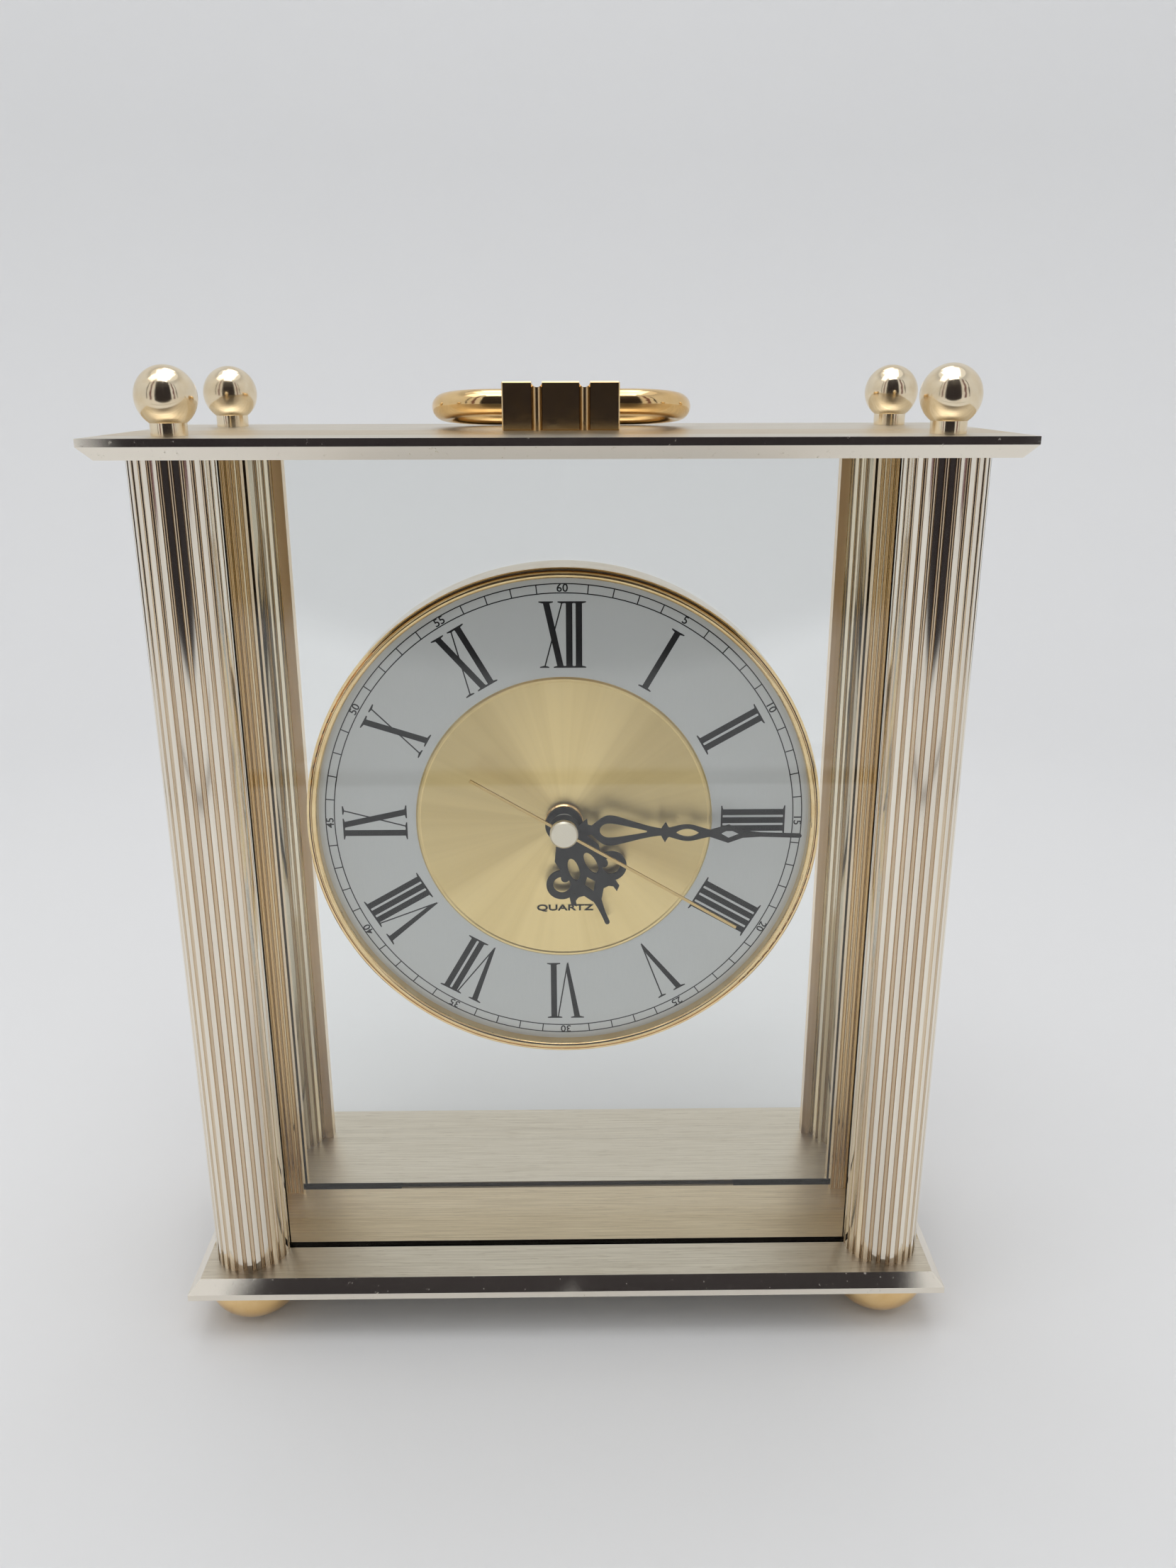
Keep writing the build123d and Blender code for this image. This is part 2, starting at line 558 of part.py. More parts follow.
def gear_face(teeth, module, phase):
    """An involute gear's outline, one tooth centred on the phase, degrees from +X."""
    pitch_r = teeth * module / 2
    base_r = pitch_r * math.cos(PRESSURE_ANGLE)
    tip_r = pitch_r + ADDENDUM * module
    root_r = pitch_r - DEDENDUM * module
    half_tooth = math.pi / (2 * teeth) - BACKLASH * module / (2 * pitch_r)
    start_r = max(base_r, root_r)
    flank = []
    for step in range(4):
        radius = start_r + (tip_r - start_r) * step / 3
        pressure = math.acos(min(1.0, base_r / radius))
        flank.append((radius, half_tooth + involute(PRESSURE_ANGLE) - involute(pressure)))
    if root_r < base_r:
        flank.insert(0, (root_r, flank[0][1]))
    points = []
    for tooth in range(teeth):
        middle = math.radians(phase) + 2 * math.pi * tooth / teeth
        for radius, half in flank:
            points.append((radius * math.cos(middle - half), radius * math.sin(middle - half)))
        for radius, half in reversed(flank):
            points.append((radius * math.cos(middle + half), radius * math.sin(middle + half)))
    return make_face(Polyline(*points, close=True))


def mesh_phase(driver_phase, driver_teeth, direction, driven_teeth):
    """The phase that puts a gap of the driven gear over the driver's tooth on the line of centres."""
    lead = driver_phase - direction
    return direction + 180.0 - lead * driver_teeth / driven_teeth + 180.0 / driven_teeth


THIRD_AXIS = polar(THIRD_DISTANCE, THIRD_DIRECTION)
STEP_AXIS = polar(STEP_DISTANCE, STEP_DIRECTION)
ROTOR_AXIS = polar(ROTOR_DISTANCE, ROTOR_DIRECTION, STEP_AXIS)
MOTION_AXIS = polar(MOTION_DISTANCE, MOTION_DIRECTION)
KNOB_AXIS = polar(KNOB_DISTANCE, KNOB_DIRECTION, MOTION_AXIS)
TRAIN_FRONT_Y = CASE_FRONT_Y + CASE_FRONT_T


def pivoted_arbor(front, back, radius, place):
    """A shaft with a thin pivot at each end."""
    body = shaft(radius, front + PIVOT_LENGTH, back - PIVOT_LENGTH, place)
    body += shaft(PIVOT_R, front + 0.1, front + PIVOT_LENGTH, place)
    return body + shaft(PIVOT_R, back - PIVOT_LENGTH, back - 0.1, place)


def seconds_wheel():
    """The arbor that carries the second hand, with its wheel and pinion."""
    back = CASE_BACK_Y + 0.7
    arbor = shaft(SECOND_ARBOR_R, SECOND_Y + HAND_T / 2, back - PIVOT_LENGTH - 0.1)
    arbor += shaft(PIVOT_R, SECOND_Y - HAND_T / 2, SECOND_Y + HAND_T / 2)
    arbor += shaft(PIVOT_R, back - PIVOT_LENGTH - 0.1, back - 0.1)
    arbor += slab(gear_face(SECOND_WHEEL, TRAIN_MODULE, STEP_DIRECTION), *SECOND_PLANE)
    arbor += slab(gear_face(SECOND_PINION, TRAIN_MODULE, THIRD_DIRECTION), *THIRD_PLANE)
    arbor += shaft(SECOND_PINION * TRAIN_MODULE / 2 - 0.35, THIRD_PLANE[1], SECOND_PLANE[0])
    return on_dial(arbor)


def third_wheel():
    """Takes the drive from the seconds pinion to the centre wheel, through the bridge."""
    wheel_phase = mesh_phase(THIRD_DIRECTION, SECOND_PINION, THIRD_DIRECTION, THIRD_WHEEL)
    body = pivoted_arbor(TRAIN_FRONT_Y - 0.7, CASE_BACK_Y + 0.7, ARBOR_R, THIRD_AXIS)
    body += slab(Pos(*THIRD_AXIS) * gear_face(THIRD_WHEEL, TRAIN_MODULE, wheel_phase), *THIRD_PLANE)
    body += slab(Pos(*THIRD_AXIS) * gear_face(THIRD_PINION, CENTRE_MODULE, THIRD_DIRECTION), *CENTRE_PLANE)
    return on_dial(body)


def centre_wheel():
    """Runs once an hour and drives the minute pipe through a friction fit."""
    phase = mesh_phase(THIRD_DIRECTION, THIRD_PINION, THIRD_DIRECTION + 180.0, CENTRE_WHEEL)
    face = gear_face(CENTRE_WHEEL, CENTRE_MODULE, phase) - Circle(MINUTE_PIPE_R + RUN_GAP)
    face -= PolarLocations(6.6, 5) * Circle(1.9)
    return on_dial(slab(face, *CENTRE_PLANE))


def step_wheel():
    """The wheel between the rotor and the seconds wheel."""
    pinion_phase = mesh_phase(STEP_DIRECTION, SECOND_WHEEL, STEP_DIRECTION, STEP_PINION)
    body = pivoted_arbor(BRIDGE_PLANE[1] - 0.7, CASE_BACK_Y + 0.7, ARBOR_R, STEP_AXIS)
    body += slab(Pos(*STEP_AXIS) * gear_face(STEP_PINION, TRAIN_MODULE, pinion_phase), *SECOND_PLANE)
    body += slab(Pos(*STEP_AXIS) * gear_face(STEP_WHEEL, TRAIN_MODULE, ROTOR_DIRECTION), *STEP_PLANE)
    return on_dial(body)


def rotor():
    """The round magnet with its pinion."""
    phase = mesh_phase(ROTOR_DIRECTION, STEP_WHEEL, ROTOR_DIRECTION, ROTOR_PINION)
    body = pivoted_arbor(BRIDGE_PLANE[1] - 0.7, CASE_BACK_Y + 0.7, ARBOR_R, ROTOR_AXIS)
    body += slab(Pos(*ROTOR_AXIS) * gear_face(ROTOR_PINION, TRAIN_MODULE, phase), *STEP_PLANE)
    return on_dial(body + shaft(MAGNET_R, *ROTOR_PLANE, ROTOR_AXIS))


def minute_pipe():
    """The pipe that carries the minute hand, with the cannon pinion."""
    body = shaft(MINUTE_PIPE_R, MINUTE_Y - HAND_T / 2, CENTRE_PLANE[1] + 0.3)
    body += slab(gear_face(CANNON_PINION, MOTION_MODULE, MOTION_DIRECTION), *MINUTE_PLANE)
    return on_dial(body - shaft(SECOND_ARBOR_R + RUN_GAP, MINUTE_Y - 2, 0))


def minute_wheel():
    """The reduction wheel between the minute pipe and the hour wheel, on a fixed stud."""
    phase = mesh_phase(MOTION_DIRECTION, CANNON_PINION, MOTION_DIRECTION, MINUTE_WHEEL)
    body = slab(gear_face(MINUTE_WHEEL, MOTION_MODULE, phase), *MINUTE_PLANE)
    body += slab(gear_face(MINUTE_PINION, HOUR_MODULE, MOTION_DIRECTION), HOUR_PLANE[0], MINUTE_PLANE[0])
    body -= shaft(STUD_R + RUN_GAP, HOUR_PLANE[0] - 1, MINUTE_PLANE[1] + 1)
    return on_dial(Pos(MOTION_AXIS[0], 0, MOTION_AXIS[1]) * body)


def hour_wheel():
    """The wheel and pipe that carry the hour hand, in the neck of the movement."""
    phase = mesh_phase(MOTION_DIRECTION, MINUTE_PINION, MOTION_DIRECTION + 180.0, HOUR_WHEEL)
    body = slab(gear_face(HOUR_WHEEL, HOUR_MODULE, phase), *HOUR_PLANE)
    body += shaft(HOUR_PIPE_R, HOUR_Y - HAND_T / 2, HOUR_PLANE[0])
    return on_dial(body - shaft(MINUTE_PIPE_R + RUN_GAP, HOUR_Y - 2, HOUR_PLANE[1] + 1))


def setting_knob():
    """The knob at the back that sets the hands, with its stem and pinion."""
    wheel_phase = mesh_phase(MOTION_DIRECTION, CANNON_PINION, MOTION_DIRECTION, MINUTE_WHEEL)
    phase = mesh_phase(wheel_phase, MINUTE_WHEEL, KNOB_DIRECTION, KNOB_PINION)
    cover_back = CASE_BACK_Y + COVER_T
    head = Circle(KNOB_R) - PolarLocations(KNOB_R, KNOB_GRIPS) * Circle(0.35)
    body = slab(head, cover_back + 0.4, cover_back + 0.4 + KNOB_LENGTH)
    body += shaft(KNOB_STEM_R, MINUTE_PLANE[1], cover_back + 0.4)
    body += slab(gear_face(KNOB_PINION, MOTION_MODULE, phase), *MINUTE_PLANE)
    body += shaft(PIVOT_R, TRAIN_FRONT_Y - 0.6, MINUTE_PLANE[0])
    return on_dial(Pos(KNOB_AXIS[0], 0, KNOB_AXIS[1]) * body)


# --- movement housing and electrics
def movement_case():
    """The open-backed moulded box: neck, battery wall, wheel stud, screw and board posts."""
    outer = Rectangle(2 * CASE_HALF, 2 * CASE_HALF)
    outer = fillet(outer.vertices(), 2.0)
    inner = Rectangle(2 * (CASE_HALF - CASE_WALL), 2 * (CASE_HALF - CASE_WALL))
    body = slab(outer, CASE_FRONT_Y, CASE_BACK_Y)
    body -= slab(inner, TRAIN_FRONT_Y, CASE_BACK_Y + 1)
    wall = Pos(0, BAY_WALL_Z) * Rectangle(2 * (CASE_HALF - CASE_WALL), BAY_WALL_T)
    body += slab(wall, TRAIN_FRONT_Y, CASE_BACK_Y)
    body += shaft(NECK_OUT_R, NECK_FRONT_Y, CASE_FRONT_Y)
    body -= shaft(HOUR_PIPE_R + RUN_GAP, NECK_FRONT_Y - 1, TRAIN_FRONT_Y + 1)
    body += shaft(STUD_R, TRAIN_FRONT_Y, MINUTE_PLANE[1] + 0.4, MOTION_AXIS)
    for place in BRIDGE_POSTS:
        body += shaft(BRIDGE_POST_R, TRAIN_FRONT_Y, BRIDGE_PLANE[0], place)
        body -= shaft(SMALL_SCREW_R, BRIDGE_PLANE[1] - BRIDGE_SCREW_BITE, BRIDGE_PLANE[0] + 1, place)
    for place in COVER_SCREWS:
        body += shaft(COVER_POST_R, TRAIN_FRONT_Y, CASE_BACK_Y, place)
        body -= shaft(SMALL_SCREW_R, CASE_BACK_Y + COVER_T - COVER_SCREW_BITE, CASE_BACK_Y + 1, place)
    for place in BOARD_POSTS:
        body += shaft(BOARD_POST_R, TRAIN_FRONT_Y, BOARD_PLANE[0], place)
    for place in (THIRD_AXIS, KNOB_AXIS):
        body -= shaft(PIVOT_R + RUN_GAP, TRAIN_FRONT_Y - 0.8, TRAIN_FRONT_Y + 0.1, place)
    return on_dial(body)


def movement_cover():
    """The back cover over the train; the battery bay below it stays open."""
    top = CASE_HALF
    bottom = BAY_WALL_Z - BAY_WALL_T / 2
    face = Pos(0, (top + bottom) / 2) * Rectangle(2 * CASE_HALF, top - bottom)
    face = fillet(face.vertices(), 1.0)
    face -= Pos(*KNOB_AXIS) * Circle(KNOB_STEM_R + RUN_GAP)
    for place in COVER_SCREWS:
        face -= Pos(*place) * Circle(SMALL_SCREW_R + FIT_GAP)
    cover = slab(face, CASE_BACK_Y, CASE_BACK_Y + COVER_T)
    for place in ((0, 0), THIRD_AXIS, STEP_AXIS, ROTOR_AXIS):
        cover -= shaft(PIVOT_R + RUN_GAP, CASE_BACK_Y - 0.1, CASE_BACK_Y + 0.8, place)
    return on_dial(cover)


def small_screws(places, head_front, bite):
    screws = []
    for place in places:
        screw = shaft(SMALL_SCREW_R, head_front - bite, head_front, place)
        screw += shaft(SMALL_HEAD_R, head_front, head_front + SMALL_HEAD_T, place)
        screw -= slab(Pos(*place) * Rectangle(4, 0.35), head_front + SMALL_HEAD_T / 2, head_front + 1)
        screws.append(on_dial(screw))
    return Compound(children=screws)


def train_bridge():
    """The plate across the middle of the movement that carries the train's front pivots."""
    corners = Polyline((-20.4, -10.2), (-12.5, -10.2), (-6.0, -4.0), (14.0, -2.0), (16.0, 13.5),
                       (7.5, 16.5), (-4.0, 22.0), (-20.4, 14.6), close=True)
    face = make_face(corners)
    face -= Circle(SECOND_ARBOR_R + RUN_GAP)
    face -= Pos(*THIRD_AXIS) * Circle(ARBOR_R + RUN_GAP)
    face -= Pos(*KNOB_AXIS) * Circle(KNOB_STEM_R + 0.4)
    for place in BRIDGE_POSTS:
        face -= Pos(*place) * Circle(SMALL_SCREW_R + FIT_GAP)
    plate = slab(face, *BRIDGE_PLANE)
    for place in (STEP_AXIS, ROTOR_AXIS):
        plate -= shaft(PIVOT_R + RUN_GAP, BRIDGE_PLANE[1] - 0.75, BRIDGE_PLANE[1] + 1, place)
    return on_dial(plate)


def stator():
    """The iron plate round the rotor, with two arms up to the ends of the coil core."""
    left, right = COIL_X0 - CORE_OVERHANG, COIL_X1 + CORE_OVERHANG
    bottom, top = ROTOR_AXIS[1] - 4.6, COIL_Z + CORE_H / 2
    shoulder = COIL_Z - COIL_R - 1.6
    outline = Polyline((left, top), (left, bottom + 4), (left + 4, bottom), (right - 4, bottom),
                       (right, bottom + 4), (right, top), (right - 3.2, top), (right - 3.2, shoulder),
                       (left + 3.2, shoulder), (left + 3.2, top), close=True)
    face = make_face(outline) - Pos(*ROTOR_AXIS) * Circle(STATOR_BORE_R)
    return on_dial(slab(face, *STATOR_PLANE))


def coil_core():
    length = COIL_X1 - COIL_X0 + 2 * CORE_OVERHANG
    face = Pos((COIL_X0 + COIL_X1) / 2, COIL_Z) * Rectangle(length, CORE_H)
    return on_dial(slab(face, *CORE_PLANE))


def bar_along_x(radius, x0, x1, y, z):
    return Pos((x0 + x1) / 2, y, z) * Rot(0, 90, 0) * Cylinder(radius, x1 - x0)


def coil_bobbin():
    """The plastic former: a tube with a flange at each end, over the core."""
    y = sum(CORE_PLANE) / 2
    tube = bar_along_x(BOBBIN_TUBE_R, COIL_X0, COIL_X1, y, COIL_Z)
    tube += bar_along_x(COIL_R, COIL_X0, COIL_X0 + BOBBIN_FLANGE_T, y, COIL_Z)
    tube += bar_along_x(COIL_R, COIL_X1 - BOBBIN_FLANGE_T, COIL_X1, y, COIL_Z)
    half_h = CORE_H / 2
    bore = block(COIL_X0 - 1, COIL_X1 + 1, *CORE_PLANE, COIL_Z - half_h, COIL_Z + half_h)
    return on_dial(tube - bore)


def coil_winding():
    y = sum(CORE_PLANE) / 2
    start, end = COIL_X0 + BOBBIN_FLANGE_T, COIL_X1 - BOBBIN_FLANGE_T
    wire = bar_along_x(COIL_R - 0.15, start, end, y, COIL_Z)
    return on_dial(wire - bar_along_x(BOBBIN_TUBE_R, COIL_X0, COIL_X1, y, COIL_Z))


def circuit_board():
    """A small board on two legs off the front wall of the case."""
    face = Rectangle(BOARD_X[1] - BOARD_X[0], BOARD_Z[1] - BOARD_Z[0])
    return on_dial(slab(Pos(sum(BOARD_X) / 2, sum(BOARD_Z) / 2) * face, *BOARD_PLANE))


def quartz_crystal():
    """The tuning-fork crystal in its small can, lying on the board."""
    return on_dial(Pos(22.6, BOARD_PLANE[1] + 0.75, -1.0) * Cylinder(0.75, 6.0))


def control_chip():
    """The chip under a drop of resin."""
    dome = Pos(0, BOARD_PLANE[1] - 2.3, 0) * Sphere(3.1)
    keep = block(-4, 4, BOARD_PLANE[1], BOARD_PLANE[1] + 2, -4, 4)
    return on_dial(Pos(17.0, 0, -1.0) * (dome & keep))


def battery():
    """One cylindrical cell, positive end to the right."""
    half = CELL_LENGTH / 2
    cell = bar_along_x(CELL_R, -half, half - 0.2, CELL_Y, CELL_Z)
    cell += bar_along_x(2.75, half - 0.2, half + 1.0, CELL_Y, CELL_Z)
    return on_dial(cell)


def contact_strip(side):
    """A bent strip between the cell and the end wall of the bay."""
    wall_x = CASE_HALF - CASE_WALL
    cell_x = CELL_LENGTH / 2 + (1.0 if side > 0 else 0.0)
    back, front = CELL_Y + 5.0, CELL_Y - 5.0
    outer = [(wall_x, front), (wall_x, back)]
    bend = [(wall_x - 0.4, back), (wall_x - 0.4, CELL_Y + 2), (cell_x + 0.4, CELL_Y + 0.8),
            (cell_x, CELL_Y + 0.8), (cell_x, CELL_Y - 0.8), (cell_x + 0.4, CELL_Y - 0.8),
            (wall_x - 0.4, CELL_Y - 2), (wall_x - 0.4, front)]
    points = [(side * x, y) for x, y in outer + bend]
    strip = extrude(make_face(Polyline(*points, close=True)), 5.0)
    return on_dial(Pos(0, 0, CELL_Z - 2.5) * strip)


def nodes():
    """Every piece by its node name."""
    parts = {"base_plate": base_plate(), "top_plate": top_plate()}
    for place in COLUMN_PLACES:
        parts[f"column_{place}"] = column(place)
        parts[f"foot_{place}"] = foot(place)
        parts[f"finial_{place}"] = finial(place)
    parts.update({
        "tie_rods": tie_rods(), "foot_pads": foot_pads(),
        "front_glass": front_glass(), "centre_glass": centre_glass(), "glass_packing": glass_packing(),
        "stile_left": stile(-1), "stile_right": stile(1),
        "handle_block": handle_block(), "handle_screws": handle_screws(), "handle_ring": handle_ring(),
        "dial_drum": dial_drum(), "bezel": bezel(), "dial_plate": dial_plate(),
        "dial_centre_disc": dial_centre_disc(), "fixing_nut": fixing_nut(),
        "pane_gaskets": pane_gaskets(),
        "clamp_plate": clamp_plate(), "clamp_screws": clamp_screws(),
        "hour_hand": hand(hour_sketch(), HOUR_ANGLE, HOUR_Y, HOUR_PIPE_R, 4.2, 0.4),
        "minute_hand": hand(minute_sketch(), MINUTE_ANGLE, MINUTE_Y, MINUTE_PIPE_R, 2.9, 1.2),
        "second_hand": hand(second_sketch(), SECOND_ANGLE, SECOND_Y, PIVOT_R, 0, 0),
        "second_cap": second_cap(),
        "seconds_wheel": seconds_wheel(), "third_wheel": third_wheel(), "centre_wheel": centre_wheel(),
        "step_wheel": step_wheel(), "rotor": rotor(), "minute_pipe": minute_pipe(),
        "minute_wheel": minute_wheel(), "hour_wheel": hour_wheel(), "setting_knob": setting_knob(),
        "movement_case": movement_case(), "movement_cover": movement_cover(),
        "train_bridge": train_bridge(),
        "bridge_screws": small_screws(BRIDGE_POSTS, BRIDGE_PLANE[1], BRIDGE_SCREW_BITE),
        "cover_screws": small_screws(COVER_SCREWS, CASE_BACK_Y + COVER_T, COVER_SCREW_BITE),
        "stator": stator(), "coil_core": coil_core(), "coil_bobbin": coil_bobbin(),
        "coil_winding": coil_winding(), "circuit_board": circuit_board(),
        "quartz_crystal": quartz_crystal(), "control_chip": control_chip(), "battery": battery(),
        "contact_negative": contact_strip(-1), "contact_positive": contact_strip(1),
    })
    return parts


os.makedirs("parts", exist_ok=True)
for name, shape in nodes().items():
    export_step(shape, f"parts/{name}.step")
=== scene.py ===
"""Looks for a four-column mantel clock: materials, printed dial, studio and camera.

Metres throughout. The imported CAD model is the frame; X runs to the viewer's right, Y to the back
and Z up, and the dial faces -Y.
"""
import json
import math

import bmesh
import bpy
from mathutils import Euler, Matrix, Vector


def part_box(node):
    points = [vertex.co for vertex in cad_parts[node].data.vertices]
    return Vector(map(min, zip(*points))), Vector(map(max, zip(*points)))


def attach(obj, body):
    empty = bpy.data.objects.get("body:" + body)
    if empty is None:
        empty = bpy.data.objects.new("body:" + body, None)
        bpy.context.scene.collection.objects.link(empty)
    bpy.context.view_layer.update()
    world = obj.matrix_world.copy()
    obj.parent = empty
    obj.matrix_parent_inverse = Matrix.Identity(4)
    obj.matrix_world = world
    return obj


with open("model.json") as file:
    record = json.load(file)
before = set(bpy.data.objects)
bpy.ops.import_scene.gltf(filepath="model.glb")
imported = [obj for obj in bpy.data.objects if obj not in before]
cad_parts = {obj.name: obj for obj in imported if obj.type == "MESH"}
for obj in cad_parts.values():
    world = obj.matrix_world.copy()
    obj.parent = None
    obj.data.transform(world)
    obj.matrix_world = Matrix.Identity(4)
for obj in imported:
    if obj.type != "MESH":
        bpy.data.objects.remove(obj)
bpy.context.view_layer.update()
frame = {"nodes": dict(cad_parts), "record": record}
NODES = frame["nodes"]
MM = 0.001


# --- places read from the frame -----------------------------------------------------------------
def middle(node):
    low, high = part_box(node)
    return (low + high) / 2


DIAL_LOW, DIAL_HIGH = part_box("dial_plate")
DIAL_CENTRE = Vector((0.0, DIAL_LOW.y, (DIAL_LOW.z + DIAL_HIGH.z) / 2))
DISC_FRONT_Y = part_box("dial_centre_disc")[0].y
COLUMN_PLACE = middle("foot_rear_right")
COLUMN_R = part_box("column_front_left")[1].x + COLUMN_PLACE.x
PLATE_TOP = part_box("base_plate")[1].z
FRONT_PANE_Y = middle("front_glass").y
STILE_FACE_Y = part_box("stile_left")[1].y
SLOT_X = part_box("centre_glass")[1].x + MM
SLOT_Y = 2 * MM - FRONT_PANE_Y
CELL_BAND_X, CELL_BARE_X = 12.5 * MM, 23.8 * MM   # where the cell's coloured band and bare end start

# --- dial print, millimetres from the centre ------------------------------------------------------
INK = 0.02                       # thickness of one printed layer
NUMERAL_IN, NUMERAL_OUT = 35.2, 49.6
THICK, HAIR = 1.38, 0.3
SERIF_T, SERIF_OVER = 0.24, 0.85
BAR_PITCH = 1.92
V_LEFT, V_RIGHT = 2.2, 2.4       # reach of a V's two strokes at the top, from its point
X_THICK, X_HAIR = 1.55, 1.95     # half the sideways run of an X's two strokes
TRACK_IN, TRACK_OUT, TRACK_LINE = 51.4, 53.35, 0.24
FIGURE_SIZE = 2.4
WORD_SIZE, WORD_DROP = 2.0, 21.0
FIGURE_MIDDLE = (TRACK_IN + TRACK_OUT) / 2
BOLDER = 0.035                   # how far small letters are fattened
RING_STEPS = 360                 # straight pieces in a printed circle

# Each numeral as its letters and their places across it, left to right as read
NUMERALS = {
    1: [("I", 0.0)],
    2: [("I", -0.5 * BAR_PITCH), ("I", 0.5 * BAR_PITCH)],
    3: [("I", -BAR_PITCH), ("I", 0.0), ("I", BAR_PITCH)],
    4: [("I", (k - 1.5) * BAR_PITCH) for k in range(4)],
    5: [("V", -0.1)],
    6: [("V", -0.55), ("I", 2.75)],
    7: [("V", -1.5), ("I", 1.8), ("I", 1.8 + BAR_PITCH)],
    8: [("V", -2.46), ("I", 0.84), ("I", 0.84 + BAR_PITCH), ("I", 0.84 + 2 * BAR_PITCH)],
    9: [("I", -2.5), ("X", 0.95)],
    10: [("X", 0.0)],
    11: [("X", -0.9), ("I", 2.5)],
    12: [("X", -1.97), ("I", 1.43), ("I", 1.43 + 1.08 * BAR_PITCH)],
}

# --- moulded marks on the back, millimetres -------------------------------------------------------
MARK_ARM, MARK_W, MARK_T = 1.3, 0.25, 0.15       # half length, half width and thickness
CELL_END_X, SIGN_UP = 18.0, 2.6                  # plus and minus: out from the middle, up the cover
ARROW_R, ARROW_HEAD = 7.0, 0.8                   # the arrow's radius, and half its head's width
ARROW_FROM, ARROW_SWEEP, ARROW_STEPS = 60.0, 100.0, 16
ARROW_TIP = 0.22                                 # how far the head runs on, in radians

# --- node helpers ---------------------------------------------------------------------------------
class Finish:
    """A Principled material, with short ways to add nodes to it."""

    def __init__(self, name, colour, metallic=0.0, roughness=0.5, sockets=None):
        self.material = bpy.data.materials.new(name)
        self.material.use_nodes = True
        self.tree = self.material.node_tree
        self.main = self.tree.nodes["Principled BSDF"]
        self.set(self.main, "Base Color", self.rgb(colour))
        self.set(self.main, "Metallic", metallic)
        self.set(self.main, "Roughness", roughness)
        for key, value in (sockets or {}).items():
            self.set(self.main, key, value)
        self.place = self.add("TexCoord").outputs["Object"]

    @staticmethod
    def rgb(colour):
        return (*colour, 1.0) if isinstance(colour, tuple) and len(colour) == 3 else colour

    def set(self, node, key, value):
        socket = node.inputs[key]
        if isinstance(value, bpy.types.NodeSocket):
            self.tree.links.new(value, socket)
        else:
            socket.default_value = value

    def add(self, kind, inputs=None, **settings):
        node = self.tree.nodes.new("ShaderNode" + kind)
        for key, value in settings.items():
            setattr(node, key, value)
        for key, value in (inputs or {}).items():
            self.set(node, key, value)
        return node

    def maths(self, operation, first, second=0.0, third=0.0):
        node = self.add("Math", {0: first, 1: second, 2: third}, operation=operation)
        return node.outputs[0]

    def vector(self, operation, first, second=(0.0, 0.0, 0.0)):
        node = self.add("VectorMath", {0: first, 1: second}, operation=operation)
        return node.outputs["Value" if operation == "LENGTH" else "Vector"]

    def split(self, vector):
        return self.add("SeparateXYZ", {0: vector}).outputs

    def join(self, x=0.0, y=0.0, z=0.0):
        return self.add("CombineXYZ", {0: x, 1: y, 2: z}).outputs[0]

    def shared(self, first, second):
        """How much of a place is in both of two masks."""
        return self.maths("MULTIPLY", first, second)

    def size(self, value):
        return self.maths("ABSOLUTE", value)

    def noise(self, vector, scale=1.0, detail=2.0, rough=0.5):
        inputs = {"Vector": vector, "Scale": scale, "Detail": detail, "Roughness": rough}
        return self.add("TexNoise", inputs).outputs["Fac"]

    def stretched(self, scales, detail=2.0, rough=0.5):
        """Noise with its own scale along each axis, per metre."""
        return self.noise(self.vector("MULTIPLY", self.place, scales), 1.0, detail, rough)

    def ease(self, value, low, high, to_low=0.0, to_high=1.0):
        """Maps low..high smoothly on to to_low..to_high."""
        inputs = {"Value": value, "From Min": low, "From Max": high,
                  "To Min": to_low, "To Max": to_high}
        return self.add("MapRange", inputs, interpolation_type="SMOOTHSTEP").outputs[0]

    def mix(self, amount, first, second):
        inputs = {0: amount, 6: self.rgb(first), 7: self.rgb(second)}
        return self.add("Mix", inputs, data_type="RGBA").outputs[2]

    def blend(self, amount, first, second):
        """The same for plain numbers."""
        return self.add("Mix", {0: amount, 2: first, 3: second}).outputs[0]

    def colour(self, value):
        self.set(self.main, "Base Color", value)

    def rough(self, value):
        self.set(self.main, "Roughness", value)

    def bump(self, height, depth, strength=1.0):
        inputs = {"Height": height, "Distance": depth, "Strength": strength}
        self.set(self.main, "Normal", self.add("Bump", inputs).outputs[0])

    def along(self, direction):
        """Sets the direction that the metal is brushed in."""
        self.set(self.main, "Tangent", direction)

    def see_through(self, amount, shader, tint=(1.0, 1.0, 1.0, 1.0)):
        """Shows the shader by the amount, and what is behind for the rest."""
        clear = self.add("BsdfTransparent", {"Color": tint}).outputs[0]
        both = self.add("MixShader", {0: amount, 1: clear, 2: shader}).outputs[0]
        self.tree.links.new(both, self.tree.nodes["Material Output"].inputs["Surface"])


